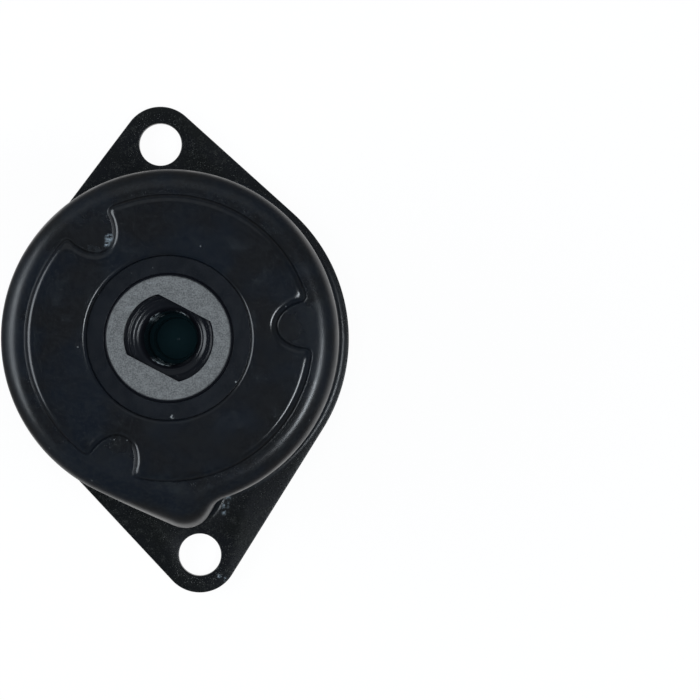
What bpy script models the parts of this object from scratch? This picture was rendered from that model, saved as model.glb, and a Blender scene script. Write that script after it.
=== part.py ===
"""Spring unit of a drive belt tensioner.

A drawn steel can with a two-hole flange holds a flat-wire torsion spring. The hub stands in two
bushes on the can's axis, and its double-D socket takes the arm of the belt pulley. Metres, +Z
from the flange's back towards the hub's front face, +Y from one mounting hole to the other.
"""

import math

import bmesh
import bpy
from mathutils import Vector

# Fits
FIT = 0.0003  # clearance between two pieces that touch or slide on the real unit

# Hub, from its bolt hole outwards
BOLT_R = 0.0051  # tapping size for M12
BOLT_CHAMFER = 0.0012  # shank bore to the thread's bore
SHANK_DEPTH = 0.03  # hub face to the end of the shank's bore
BOLT_DEPTH = 0.045  # hub face to the end of the bolt hole
DRILL_POINT = 0.003
DRILL_END_R = 0.0017
CONE_WIDTH = 0.0012
CONE_DEPTH = 0.0014
CONE_EDGE = 0.0004  # socket floor outside the cone
SOCKET_FLAT_DEPTH = 0.0025
SOCKET_TURN = -33.1  # degrees, direction of the flats
SOCKET_DEPTH = 0.008
SOCKET_WALL = 0.0008  # socket to the carrier seat's flats
CARRIER_FLAT_DEPTH = 0.0023
HEAD_STEP = 0.0015  # carrier seat to the head
HEAD_HEIGHT = 0.0064
HUB_SINK = 0.0003  # hub face below the plateau
HUB_CHAMFER = 0.00085
BARREL_STEP = 0.0002
STOP_STEP = 0.0003
STOP_FLAT_DEPTH = 0.001
JOURNAL_STEP = 0.0002
JOURNAL_CHAMFER = 0.0006
HUB_RECESS = 0.0006  # hub end inside the flange's back
SEAL_WIRE_R = 0.00075
SEAL_SINK = 0.0029  # hub face to the middle of the seal

# Front bush and damping ring
BUSH_WALL = 0.0038
BUSH_SINK = 0.0008  # bush collar below the plateau
BUSH_FLANGE = 0.0023
DAMPING_T = 0.0013
DAMPING_ROOM = 0.005  # hub head to the damping ring
DAMPING_WIDTH = 0.01

# Rear closure, from the hub outwards
RING_RECESS = 0.0016  # flange back to the retaining ring
RING_T = 0.0012
RING_BAND = 0.0026
RING_TAPER = 0.0007
RING_GAP = 15.0  # degrees each side
RING_LUG = 0.0042
RING_LUG_ANGLE = 17.0
RING_EYE_R = 0.0008
RING_EYE_OUT = 0.0024  # ring's inner edge to the middle of an eye
GROOVE_DEPTH = 0.0009
WASHER_T = 0.001
WASHER_WIDTH = 0.0047
REAR_BUSH_WALL = 0.0017
REAR_BUSH_FLANGE = 0.0015
REAR_BUSH_FLANGE_WIDTH = 0.0037
REAR_BUSH_LENGTH = 0.0103
COVER_T = 0.0022
COLLAR_T = 0.0022
COLLAR_HEIGHT = 0.0055
PIN_ROOM = 0.0016  # cover's collar to the pin's head
PIN_TURN = 150.0  # degrees
PIN_R = 0.0022
PIN_CHAMFER = 0.0007
PIN_HEAD_R = 0.0034
PIN_HEAD_T = 0.0013
PIN_CROWN_R = 0.002  # flat top of the riveted head
PIN_HEAD_EDGE = 0.0007
TRAVEL = 65.0  # degrees the hub turns from its stop
STOP_PLATE_T = 0.0025
SLOT_EDGE = 0.0028  # slot to the stop plate's rim

# Spring, its seat and its carrier
SEAT_ROOM = 0.0007  # stop plate to the seat's lip
SEAT_T = 0.0023
SEAT_LIP_T = 0.0019
SEAT_LIP_HEIGHT = 0.0038
RAMP_START = 6.0  # degrees after the leg's tangent point
RAMP_END = 308.0
WIRE_WIDTH = 0.006
WIRE_EDGE = 0.0008
COIL_GAP = 0.00077  # between two turns
TURNS = 4.4
SPRING_ROOM = 0.0034  # coil to the can's inner wall
CARRIER_T = 0.003
CARRIER_RIM = 0.0005  # carrier beyond the coil
TANG_ANGLE = 11.0  # degrees
TANG_DROP = 0.0048

# Drawn housing: sheet and can
SHEET = 0.0025
HEIGHT = 0.052  # flange back to plateau
FOOT_FILLET = 0.0018  # can wall to flange front
CORNER_R = 0.0053  # front corner of the can

# Bulge of the can that holds the spring's leg
BULGE_START = 238.6  # degrees, where the straight wall leaves the round one
BULGE_OUT = 0.0055  # tip beyond the round wall
BULGE_TIP_R = 0.0062
BULGE_FLANK = 57.0  # degrees, direction of the steep wall behind the tip
BULGE_FILLET = 0.005  # steep wall to round wall
BULGE_CORNER = 0.0134  # height of the front corner's rounding at the tip

# Flange
HUB_OFFSET = 0.0027  # hub axis from the midpoint of the holes
HOLE_R = 0.00525
HOLE_ROOM = 0.00375  # tip of the bulge to the lower hole
HOLE_EDGE = 0.00415  # hole to the flange's round end
FLANGE_RIM = 0.0028  # flange beyond the can at its sides

# Raised plateau of the front, with three pressed dents
SHOULDER_FLAT = 0.0008
PLATEAU_RISE = 0.0016
PLATEAU_SLOPE = 0.0015
POCKET_INSET = 0.0009  # inner edge of the plateau's underside, from its outer base
POCKET_SLOPE = 0.0013
DENTS = 3
DENT_R = 0.0063
DENT_DEPTH = 0.0083
DENT_MOUTH_R = 0.003
LIP_ROUND = 0.0006  # edge of the central opening

# Segments
ROUND = 48
WIRE_STEPS = 28  # per turn
ROUNDING = 5  # front corner
BEND_STEPS = 3
SLOPE_STEPS = 4
LIP_STEPS = 2
CAN_STEPS = 54
BULGE_STEPS = 6
BULGE_TIP_STEPS = 10
TIP_STEPS = 14
MOUTH_STEPS = 4
DENT_STEPS = 12
SIDE_STEPS = 18
HOLE_STEPS = 40
PIN_STEPS = 24
EYE_STEPS = 12
SEAL_STEPS = 8
RING_STEPS = 40
RAMP_STEPS = 36
TANG_STEPS = 3
SLOT_STEPS = 12
SLOT_END_STEPS = 8

# Derived radii, from the bolt hole outwards
SOCKET_HALF = BOLT_R + BOLT_CHAMFER + CONE_WIDTH + CONE_EDGE
SOCKET_R = SOCKET_HALF + SOCKET_FLAT_DEPTH
CARRIER_SEAT_HALF = SOCKET_R + SOCKET_WALL
CARRIER_SEAT_R = CARRIER_SEAT_HALF + CARRIER_FLAT_DEPTH
HUB_R = CARRIER_SEAT_R + HEAD_STEP
BARREL_R = CARRIER_SEAT_HALF - BARREL_STEP
STOP_SEAT_R = BARREL_R - STOP_STEP
STOP_SEAT_HALF = STOP_SEAT_R - STOP_FLAT_DEPTH
JOURNAL_R = STOP_SEAT_HALF - JOURNAL_STEP
REAR_SLEEVE_R = JOURNAL_R + FIT + REAR_BUSH_WALL
COVER_COLLAR_R = REAR_SLEEVE_R + FIT + COLLAR_T
PIN_CIRCLE_R = COVER_COLLAR_R + PIN_ROOM + PIN_HEAD_R
STOP_PLATE_R = PIN_CIRCLE_R + PIN_R + FIT + SLOT_EDGE
SEAT_INNER_R = STOP_PLATE_R + SEAT_ROOM
COIL_INNER_R = SEAT_INNER_R + SEAT_LIP_T + 2 * FIT
COIL_R = COIL_INNER_R + WIRE_WIDTH / 2
COIL_OUTER_R = COIL_INNER_R + WIRE_WIDTH
INNER_R = COIL_OUTER_R + SPRING_ROOM
CAN_R = INNER_R + SHEET
CREST_R = CAN_R - CORNER_R
PLATEAU_R = CREST_R - SHOULDER_FLAT
COLLAR_R = HUB_R + FIT + BUSH_WALL
OPENING_R = COLLAR_R + FIT

# Derived sizes of the flange
BULGE_REACH = CAN_R + BULGE_OUT
TIP_R = HOLE_R + HOLE_EDGE
HOLE_OUT = BULGE_REACH + HOLE_ROOM + HOLE_R - HUB_OFFSET  # from the midpoint of the holes

# Derived levels, from the front
CREST_Z = HEIGHT - PLATEAU_RISE
HUB_FACE_Z = HEIGHT - HUB_SINK
UNDERSIDE_Z = CREST_Z - SHEET
POCKET_Z = HEIGHT - SHEET
BUSH_TOP_Z = POCKET_Z - FIT
BUSH_BASE_Z = BUSH_TOP_Z - BUSH_FLANGE
DAMPING_TOP_Z = BUSH_BASE_Z - FIT
CARRIER_TOP_Z = DAMPING_TOP_Z - DAMPING_T - FIT
CARRIER_BASE_Z = CARRIER_TOP_Z - CARRIER_T
HEAD_Z = HUB_FACE_Z - HEAD_HEIGHT
SEAL_Z = HUB_FACE_Z - SEAL_SINK

# Derived levels, from the back
RING_TOP_Z = RING_RECESS + RING_T
WASHER_Z = RING_TOP_Z + FIT
REAR_BUSH_Z = WASHER_Z + WASHER_T + FIT
COVER_Z = REAR_BUSH_Z + REAR_BUSH_FLANGE + FIT
COVER_TOP_Z = COVER_Z + COVER_T
SEAT_Z = COVER_TOP_Z + FIT
REAR_BUSH_TOP_Z = REAR_BUSH_Z + REAR_BUSH_LENGTH
STOP_PLATE_Z = REAR_BUSH_TOP_Z + FIT
WIRE_BASE_Z = SEAT_Z + SEAT_T + FIT
WIRE_TOP_Z = CARRIER_BASE_Z - FIT
WIRE_HEIGHT = (WIRE_TOP_Z - WIRE_BASE_Z - TURNS * COIL_GAP) / (TURNS + 1)
PITCH = WIRE_HEIGHT + COIL_GAP


def polar(radius, degrees, height=0.0):
    angle = math.radians(degrees)
    return Vector((radius * math.cos(angle), radius * math.sin(angle), height))


def arc(centre, radius, start, end, steps):
    """Points from start to end, both in degrees, ends included."""
    return [centre + polar(radius, start + (end - start) * i / steps) for i in range(steps + 1)]


def circle(radius, height, steps=ROUND, centre=Vector((0, 0, 0))):
    return [centre + polar(radius, 360 * i / steps, height) for i in range(steps)]


def lifted(points, height):
    return [Vector((point.x, point.y, height)) for point in points]


def heading(vector):
    return math.degrees(math.atan2(vector.y, vector.x))


def ring(mesh, points):
    """A closed loop of edges through the points."""
    corners = [mesh.verts.new(point) for point in points]
    return [mesh.edges.new(pair) for pair in zip(corners, corners[1:] + corners[:1])]


def flat(mesh, *rings):
    """One flat face inside the first ring and outside the others."""
    edges = [edge for loop in rings for edge in loop]
    bmesh.ops.triangle_fill(mesh, use_beauty=True, use_dissolve=False, edges=edges)


def wall(mesh, *rings):
    """Faces from each ring to the next, flat where a step keeps its height."""
    for first, second in zip(rings, rings[1:]):
        heights = {round(corner.co.z, 7) for edge in first + second for corner in edge.verts}
        if len(heights) == 1:
            flat(mesh, first, second)
        else:
            bmesh.ops.bridge_loops(mesh, edges=first + second)


def spun(mesh, profile, steps=ROUND):
    """A solid of revolution from a closed profile of (radius, height) pairs."""
    corners = [mesh.verts.new((radius, 0, height)) for radius, height in profile]
    edges = [mesh.edges.new(pair) for pair in zip(corners, corners[1:] + corners[:1])]
    bmesh.ops.spin(
        mesh,
        geom=corners + edges,
        cent=(0, 0, 0),
        axis=(0, 0, 1),
        angle=2 * math.pi,
        steps=steps,
        use_merge=True,
    )


def finish(name, mesh, parent, material):
    bmesh.ops.recalc_face_normals(mesh, faces=mesh.faces)
    data = bpy.data.meshes.new(name)
    mesh.to_mesh(data)
    mesh.free()
    data.shade_smooth()
    data.set_sharp_from_angle(angle=math.radians(35))
    data.materials.append(material)
    made = bpy.data.objects.new(name, data)
    made.parent = parent
    bpy.context.scene.collection.objects.link(made)
    return made


def cut_by(target, cutter, operation="DIFFERENCE"):
    cutter.hide_render = True
    cutter.display_type = "WIRE"
    boolean = target.modifiers.new(cutter.name, "BOOLEAN")
    boolean.operation = operation
    boolean.object = cutter
    boolean.solver = "EXACT"


def surface(name, colour, roughness, metallic=0.0, coat=0.0):
    made = bpy.data.materials.new(name)
    made.use_nodes = True
    shader = made.node_tree.nodes["Principled BSDF"]
    shader.inputs["Base Color"].default_value = (*colour, 1)
    shader.inputs["Roughness"].default_value = roughness
    shader.inputs["Metallic"].default_value = metallic
    shader.inputs["Coat Weight"].default_value = coat
    return made


def axis_empty(name):
    made = bpy.data.objects.new(name, None)
    made.location = (0, HUB_OFFSET, 0)
    bpy.context.scene.collection.objects.link(made)
    return made


# Outline of the can, about the hub axis
LEG_OUT = polar(1, BULGE_START)
LEG_ALONG = polar(1, BULGE_START + 90)
FLANK_OUT = polar(1, BULGE_FLANK - 90)
FLANK_ALONG = polar(1, BULGE_FLANK)
TIP_OUT = CAN_R - BULGE_TIP_R
TIP_ALONG = math.sqrt((BULGE_REACH - BULGE_TIP_R) ** 2 - TIP_OUT**2)
TIP_CENTRE = TIP_OUT * LEG_OUT + TIP_ALONG * LEG_ALONG


def can_outline():
    """The can's outer wall, anticlockwise, as (point, outward normal) pairs."""
    fillet_reach = TIP_CENTRE.dot(FLANK_OUT) + BULGE_TIP_R + BULGE_FILLET
    fillet_along = math.sqrt((CAN_R + BULGE_FILLET) ** 2 - fillet_reach**2)
    fillet_centre = fillet_reach * FLANK_OUT - fillet_along * FLANK_ALONG
    rejoin = heading(fillet_centre) % 360
    flank_heading = BULGE_FLANK - 90 + 360
    pairs = []
    for i in range(BULGE_STEPS):
        pairs.append((CAN_R * LEG_OUT + TIP_ALONG * i / BULGE_STEPS * LEG_ALONG, LEG_OUT))
    for point in arc(TIP_CENTRE, BULGE_TIP_R, BULGE_START, flank_heading, BULGE_TIP_STEPS):
        pairs.append((point, (point - TIP_CENTRE).normalized()))
    for point in arc(fillet_centre, BULGE_FILLET, flank_heading - 180, rejoin - 180, BULGE_STEPS):
        pairs.append((point, (fillet_centre - point).normalized()))
    for point in arc(Vector((0, 0, 0)), CAN_R, rejoin, BULGE_START + 360, CAN_STEPS)[1:-1]:
        pairs.append((point, point.normalized()))
    return pairs


def inner_outline(gap, height):
    """The can's inside, less a gap."""
    return [point - (SHEET + gap) * normal + Vector((0, 0, height)) for point, normal in can_outline()]


def flange_outline(height):
    """Two round ends about the holes and two round sides about the hub axis."""
    top = Vector((0, HOLE_OUT - HUB_OFFSET, 0))
    bottom = Vector((0, -HOLE_OUT - HUB_OFFSET, 0))
    flange_r = CAN_R + FLANGE_RIM
    top_half = math.degrees(math.acos((flange_r - TIP_R) / top.length))
    bottom_half = math.degrees(math.acos((flange_r - TIP_R) / bottom.length))
    points = arc(top, TIP_R, 90 - top_half, 90 + top_half, TIP_STEPS)
    points += arc(Vector((0, 0, 0)), flange_r, 90 + top_half, 270 - bottom_half, SIDE_STEPS)
    points += arc(bottom, TIP_R, 270 - bottom_half, 270 + bottom_half, TIP_STEPS)
    points += arc(Vector((0, 0, 0)), flange_r, bottom_half - 90, 90 - top_half, SIDE_STEPS)
    return lifted(points, height)


def plateau_outline(inset, height):
    """Edge of the plateau, moved inwards: round, with a dent every third of a turn."""
    edge_r = PLATEAU_R - inset
    dent_r = DENT_R + inset
    mouth_r = max(DENT_MOUTH_R - inset, FIT)
    dent_at = PLATEAU_R - DENT_DEPTH + DENT_R
    mouth_at = edge_r - mouth_r
    reach = dent_r + mouth_r
    cosine = (mouth_at**2 + dent_at**2 - reach**2) / (2 * mouth_at * dent_at)
    mouth_half = math.degrees(math.acos(cosine))
    points = []
    for i in range(DENTS):
        turn = 360 * i / DENTS
        dent = polar(dent_at, turn)
        before = polar(mouth_at, turn - mouth_half)
        after = polar(mouth_at, turn + mouth_half)
        to_dent = heading(dent - before)
        from_dent = heading(dent - after)
        first = (to_dent - (turn - mouth_half)) % 360
        points += arc(before, mouth_r, turn - mouth_half, turn - mouth_half + first, MOUTH_STEPS)
        swing = (heading(after - dent) - heading(before - dent)) % 360 - 360
        points += arc(dent, dent_r, heading(before - dent), heading(before - dent) + swing, DENT_STEPS)[1:-1]
        last = (turn + mouth_half - from_dent) % 360
        points += arc(after, mouth_r, from_dent, from_dent + last, MOUTH_STEPS)
        far = turn + 360 / DENTS - mouth_half
        points += arc(Vector((0, 0, 0)), edge_r, turn + mouth_half, far, TIP_STEPS)[1:-1]
    return lifted(points, height)


def corner_loops(start_inset, top, drop_less):
    """Rounding from the can's wall to the crest circle, deeper round the bulge."""
    rings = []
    for step in range(ROUNDING + 1):
        lean = math.radians(90 * step / ROUNDING)
        points = []
        for point, normal in can_outline():
            side = point - start_inset * normal
            crest = CREST_R * side.normalized()
            swell = (point.length - CAN_R) / BULGE_OUT
            drop = CORNER_R + swell * (BULGE_CORNER - CORNER_R) - drop_less
            spot = crest + (side - crest) * math.cos(lean)
            points.append(Vector((spot.x, spot.y, top - drop * (1 - math.sin(lean)))))
        rings.append(points)
    return rings


def build_housing(parent, material):
    mesh = bmesh.new()
    pairs = can_outline()

    def bend(radius):
        """The wall's foot, turning out into the flange about one bend axis."""
        loops = []
        for step in range(BEND_STEPS + 1):
            lean = math.radians(90 * step / BEND_STEPS)
            out = FOOT_FILLET - radius * math.sin(lean)
            level = SHEET + FOOT_FILLET - radius * math.cos(lean)
            loops.append([point + out * normal + Vector((0, 0, level)) for point, normal in pairs])
        return loops

    front_foot = [ring(mesh, loop) for loop in bend(FOOT_FILLET)]
    back_foot = [ring(mesh, loop) for loop in bend(FOOT_FILLET + SHEET)]
    outside = [ring(mesh, loop) for loop in corner_loops(0, CREST_Z, 0)]
    inside = [ring(mesh, loop) for loop in corner_loops(SHEET, UNDERSIDE_Z, SHEET)]
    wall(mesh, *front_foot, *outside)
    wall(mesh, *back_foot, *inside)

    rim_front = ring(mesh, flange_outline(SHEET))
    rim_back = ring(mesh, flange_outline(0))
    wall(mesh, rim_back, rim_front)
    front_holes = []
    back_holes = []
    for side in (1, -1):
        centre = Vector((0, side * HOLE_OUT - HUB_OFFSET, 0))
        front_holes.append(ring(mesh, circle(HOLE_R, SHEET, HOLE_STEPS, centre)))
        back_holes.append(ring(mesh, circle(HOLE_R, 0, HOLE_STEPS, centre)))
        wall(mesh, back_holes[-1], front_holes[-1])
    flat(mesh, rim_front, front_foot[0], *front_holes)
    flat(mesh, rim_back, back_foot[0], *back_holes)

    shares = [i / SLOPE_STEPS for i in range(SLOPE_STEPS + 1)]
    slope = [(share, (1 - math.cos(math.pi * share)) / 2) for share in shares]
    step_front = [
        ring(mesh, plateau_outline(PLATEAU_SLOPE * across, CREST_Z + PLATEAU_RISE * up))
        for across, up in slope
    ]
    step_back = [
        ring(mesh, plateau_outline(POCKET_INSET + POCKET_SLOPE * across, UNDERSIDE_Z + PLATEAU_RISE * up))
        for across, up in slope[::2]
    ]
    wall(mesh, *step_front)
    wall(mesh, *step_back)
    flat(mesh, outside[-1], step_front[0])
    flat(mesh, inside[-1], step_back[0])
    lip = [ring(mesh, circle(OPENING_R, POCKET_Z))]
    for step in range(LIP_STEPS + 1):
        lean = math.radians(90 * step / LIP_STEPS)
        radius = OPENING_R + LIP_ROUND * (1 - math.cos(lean))
        lip.append(ring(mesh, circle(radius, HEIGHT - LIP_ROUND * (1 - math.sin(lean)))))
    wall(mesh, *lip)
    flat(mesh, step_front[-1], lip[-1])
    flat(mesh, step_back[-1], lip[0])
    return finish("housing", mesh, parent, material)


def double_d(radius, flat_at, turn, height):
    """A round outline with a flat on each side of the axis, which run in the turn's direction."""
    half = math.degrees(math.asin(flat_at / radius))
    points = arc(Vector((0, 0, 0)), radius, turn - half, turn + half, TIP_STEPS)
    points += arc(Vector((0, 0, 0)), radius, turn + 180 - half, turn + 180 + half, TIP_STEPS)
    return lifted(points, height)


def build_front_bush(parent, material):
    mesh = bmesh.new()
    inset = POCKET_INSET + POCKET_SLOPE + FIT
    rim = [ring(mesh, plateau_outline(inset, height)) for height in (BUSH_BASE_Z, BUSH_TOP_Z)]
    bore_r = HUB_R + FIT
    collar_top = HEIGHT - BUSH_SINK
    bore = [ring(mesh, circle(bore_r, height)) for height in (BUSH_BASE_Z, collar_top)]
    collar = [ring(mesh, circle(COLLAR_R, height)) for height in (BUSH_TOP_Z, collar_top)]
    wall(mesh, *rim)
    wall(mesh, *bore)
    wall(mesh, *collar)
    flat(mesh, bore[1], collar[1])
    flat(mesh, rim[1], collar[0])
    flat(mesh, rim[0], bore[0])
    return finish("front_bush", mesh, parent, material)


def build_hub(parent, material):
    """Turned from the journal up, with milled flats for the stop plate and the carrier."""
    mesh = bmesh.new()
    journal_end = STOP_PLATE_Z - FIT / 2
    stop_end = STOP_PLATE_Z + STOP_PLATE_T + FIT
    carrier_start = CARRIER_BASE_Z - FIT / 2
    groove_r = JOURNAL_R - GROOVE_DEPTH
    groove_half = SEAL_WIRE_R + FIT
    seal_groove_r = HUB_R - 2 * SEAL_WIRE_R - FIT
    floor_z = HUB_FACE_Z - SOCKET_DEPTH
    cone_r = SOCKET_HALF - CONE_EDGE
    shank_r = BOLT_R + BOLT_CHAMFER
    shank_end = HUB_FACE_Z - SHANK_DEPTH
    hole_end = HUB_FACE_Z - BOLT_DEPTH

    def disc(radius, height):
        return ring(mesh, circle(radius, height))

    end = disc(JOURNAL_R - JOURNAL_CHAMFER, HUB_RECESS)
    journal = [
        end,
        disc(JOURNAL_R, HUB_RECESS + JOURNAL_CHAMFER),
        disc(JOURNAL_R, RING_RECESS - FIT),
        disc(groove_r, RING_RECESS - FIT),
        disc(groove_r, RING_TOP_Z + FIT),
        disc(JOURNAL_R, RING_TOP_Z + FIT),
        disc(JOURNAL_R, journal_end),
    ]
    flat(mesh, end)
    wall(mesh, *journal)
    stop_seat = [ring(mesh, double_d(STOP_SEAT_R, STOP_SEAT_HALF, 0, z)) for z in (journal_end, stop_end)]
    flat(mesh, stop_seat[0], journal[-1])
    wall(mesh, *stop_seat)
    barrel = [disc(BARREL_R, stop_end), disc(BARREL_R, carrier_start)]
    flat(mesh, barrel[0], stop_seat[1])
    wall(mesh, *barrel)
    carrier_seat = [
        ring(mesh, double_d(CARRIER_SEAT_R, CARRIER_SEAT_HALF, 0, z)) for z in (carrier_start, HEAD_Z)
    ]
    flat(mesh, carrier_seat[0], barrel[1])
    wall(mesh, *carrier_seat)
    head = [
        disc(HUB_R, HEAD_Z),
        disc(HUB_R, SEAL_Z - groove_half),
        disc(seal_groove_r, SEAL_Z - groove_half),
        disc(seal_groove_r, SEAL_Z + groove_half),
        disc(HUB_R, SEAL_Z + groove_half),
        disc(HUB_R, HUB_FACE_Z - HUB_CHAMFER),
        disc(HUB_R - HUB_CHAMFER, HUB_FACE_Z),
    ]
    flat(mesh, head[0], carrier_seat[1])
    wall(mesh, *head)
    socket = [
        ring(mesh, double_d(SOCKET_R, SOCKET_HALF, SOCKET_TURN, z)) for z in (HUB_FACE_Z, floor_z)
    ]
    flat(mesh, head[-1], socket[0])
    wall(mesh, *socket)
    bore = [
        disc(cone_r, floor_z),
        disc(shank_r, floor_z - CONE_DEPTH),
        disc(shank_r, shank_end),
        disc(BOLT_R, shank_end - BOLT_CHAMFER),
        disc(BOLT_R, hole_end + DRILL_POINT),
        disc(DRILL_END_R, hole_end),
    ]
    flat(mesh, socket[1], bore[0])
    wall(mesh, *bore)
    flat(mesh, bore[-1])
    return finish("hub", mesh, parent, material)


def build_hub_seal(parent, material):
    mesh = bmesh.new()
    middle_r = HUB_R - SEAL_WIRE_R
    profile = []
    for i in range(SEAL_STEPS):
        spot = polar(SEAL_WIRE_R, 360 * i / SEAL_STEPS)
        profile.append((middle_r + spot.x, SEAL_Z + spot.y))
    spun(mesh, profile)
    return finish("hub_seal", mesh, parent, material)


def build_damping_ring(parent, material):
    mesh = bmesh.new()
    inner_r = HUB_R + DAMPING_ROOM
    outer_r = inner_r + DAMPING_WIDTH
    base = CARRIER_TOP_Z + FIT
    spun(mesh, [(inner_r, base), (outer_r, base), (outer_r, DAMPING_TOP_Z), (inner_r, DAMPING_TOP_Z)])
    return finish("damping_ring", mesh, parent, material)


def sector(inner_r, outer_r, start, end, steps):
    """A piece of a flat ring between two directions."""
    centre = Vector((0, 0, 0))
    return arc(centre, outer_r, start, end, steps) + arc(centre, inner_r, end, start, steps)


def build_spring_carrier(parent, material):
    """Disc on the hub's seat, with a tang bent down in front of the spring's upper end."""
    mesh = bmesh.new()
    rim_r = COIL_OUTER_R + CARRIER_RIM
    rim = [ring(mesh, circle(rim_r, z)) for z in (CARRIER_BASE_Z, CARRIER_TOP_Z)]
    bore = [
        ring(mesh, double_d(CARRIER_SEAT_R + FIT, CARRIER_SEAT_HALF + FIT, 0, z))
        for z in (CARRIER_BASE_Z, CARRIER_TOP_Z)
    ]
    wall(mesh, *rim)
    wall(mesh, *bore)
    flat(mesh, rim[1], bore[1])
    near = BULGE_START - 360 * TURNS - math.degrees(FIT / COIL_R)
    heel = sector(COIL_INNER_R, COIL_OUTER_R, near - TANG_ANGLE, near, TANG_STEPS)
    tang = [ring(mesh, lifted(heel, z)) for z in (CARRIER_BASE_Z - TANG_DROP, CARRIER_BASE_Z)]
    flat(mesh, tang[0])
    wall(mesh, *tang)
    flat(mesh, rim[0], bore[0], tang[1])
    return finish("spring_carrier", mesh, parent, material)


def leg_length():
    """From the tangent point to where the leg's end meets the bulge's steep wall."""
    flank = TIP_CENTRE.dot(FLANK_OUT) + BULGE_TIP_R - SHEET - FIT
    lengths = []
    for out in (COIL_INNER_R, COIL_OUTER_R):
        lengths.append((flank - out * LEG_OUT.dot(FLANK_OUT)) / LEG_ALONG.dot(FLANK_OUT))
    inner_tip = BULGE_TIP_R - SHEET - FIT
    beyond = max(COIL_OUTER_R - WIRE_EDGE - TIP_OUT, 0)
    lengths.append(TIP_ALONG + math.sqrt(max(inner_tip**2 - beyond**2, 0)))
    return min(lengths)


def build_torsion_spring(parent, material):
    """Flat wire: a straight leg into the bulge, then a left-hand coil up to the carrier's tang."""
    mesh = bmesh.new()
    half_width = WIRE_WIDTH / 2
    half_height = WIRE_HEIGHT / 2
    section = [
        (half_width - WIRE_EDGE, -half_height),
        (half_width, -half_height + WIRE_EDGE),
        (half_width, half_height - WIRE_EDGE),
        (half_width - WIRE_EDGE, half_height),
        (-half_width + WIRE_EDGE, half_height),
        (-half_width, half_height - WIRE_EDGE),
        (-half_width, -half_height + WIRE_EDGE),
        (-half_width + WIRE_EDGE, -half_height),
    ]
    start_z = WIRE_BASE_Z + half_height

    def slice_at(centre, out):
        return ring(mesh, [centre + across * out + Vector((0, 0, up)) for across, up in section])

    slices = []
    leg = leg_length()
    for along in (leg, leg * 2 / 3, leg / 3):
        centre = COIL_R * LEG_OUT + along * LEG_ALONG
        slices.append(slice_at(centre + Vector((0, 0, start_z)), LEG_OUT))
    steps = round(TURNS * WIRE_STEPS)
    for i in range(steps + 1):
        turned = TURNS * i / steps
        out = polar(1, BULGE_START - 360 * turned)
        slices.append(slice_at(COIL_R * out + Vector((0, 0, start_z + PITCH * turned)), out))
    flat(mesh, slices[0])
    wall(mesh, *slices)
    flat(mesh, slices[-1])
    return finish("torsion_spring", mesh, parent, material)


def build_spring_seat(parent, material):
    """Tray under the coil, with a ramp that follows its first turn and a lip inside it."""
    mesh = bmesh.new()
    floor_z = SEAT_Z + SEAT_T
    lip_z = floor_z + SEAT_LIP_HEIGHT
    lip_r = SEAT_INNER_R + SEAT_LIP_T
    rim = [ring(mesh, inner_outline(FIT, z)) for z in (SEAT_Z, floor_z)]
    bore = [ring(mesh, circle(SEAT_INNER_R, z)) for z in (SEAT_Z, lip_z)]
    lip = [ring(mesh, circle(lip_r, z)) for z in (floor_z, lip_z)]
    wall(mesh, *rim)
    wall(mesh, *bore)
    wall(mesh, *lip)
    flat(mesh, bore[1], lip[1])
    flat(mesh, rim[0], bore[0])
    flat(mesh, rim[1], lip[0])
    seat = finish("spring_seat", mesh, parent, material)

    ramp = bmesh.new()
    foot_z = SEAT_Z + SEAT_T / 2
    slices = []
    for i in range(RAMP_STEPS + 1):
        passed = RAMP_START + (RAMP_END - RAMP_START) * i / RAMP_STEPS
        out = polar(1, BULGE_START - passed)
        top_z = floor_z + PITCH * passed / 360
        corners = [
            (COIL_INNER_R - FIT, foot_z),
            (COIL_OUTER_R + FIT, foot_z),
            (COIL_OUTER_R + FIT, top_z),
            (COIL_INNER_R - FIT, top_z),
        ]
        slices.append(ring(ramp, [radius * out + Vector((0, 0, z)) for radius, z in corners]))
    flat(ramp, slices[0])
    wall(ramp, *slices)
    flat(ramp, slices[-1])
    cut_by(seat, finish("seat_ramp", ramp, parent, material), "UNION")
    return seat


def build_rear_cover(parent, material):
    mesh = bmesh.new()
    collar_z = COVER_TOP_Z + COLLAR_HEIGHT
    pin = polar(PIN_CIRCLE_R, PIN_TURN)
    rim = [ring(mesh, inner_outline(FIT, z)) for z in (COVER_Z, COVER_TOP_Z)]
    bore = [ring(mesh, circle(REAR_SLEEVE_R + FIT, z)) for z in (COVER_Z, collar_z)]
    collar = [ring(mesh, circle(COVER_COLLAR_R, z)) for z in (COVER_TOP_Z, collar_z)]
    pin_hole = [ring(mesh, circle(PIN_R + FIT, z, PIN_STEPS, pin)) for z in (COVER_Z, COVER_TOP_Z)]
    wall(mesh, *rim)
    wall(mesh, *bore)
    wall(mesh, *collar)
    wall(mesh, *pin_hole)
    flat(mesh, bore[1], collar[1])
    flat(mesh, rim[0], bore[0], pin_hole[0])
    flat(mesh, rim[1], collar[0], pin_hole[1])
    return finish("rear_cover", mesh, parent, material)


def build_rear_bush(parent, material):
    mesh = bmesh.new()
    bore_r = JOURNAL_R + FIT
    flange_r = bore_r + REAR_BUSH_FLANGE_WIDTH
    flange_z = REAR_BUSH_Z + REAR_BUSH_FLANGE
    profile = [
        (bore_r, REAR_BUSH_Z),
        (flange_r, REAR_BUSH_Z),
        (flange_r, flange_z),
        (REAR_SLEEVE_R, flange_z),
        (REAR_SLEEVE_R, REAR_BUSH_TOP_Z),
        (bore_r, REAR_BUSH_TOP_Z),
    ]
    spun(mesh, profile)
    return finish("rear_bush", mesh, parent, material)


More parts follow.
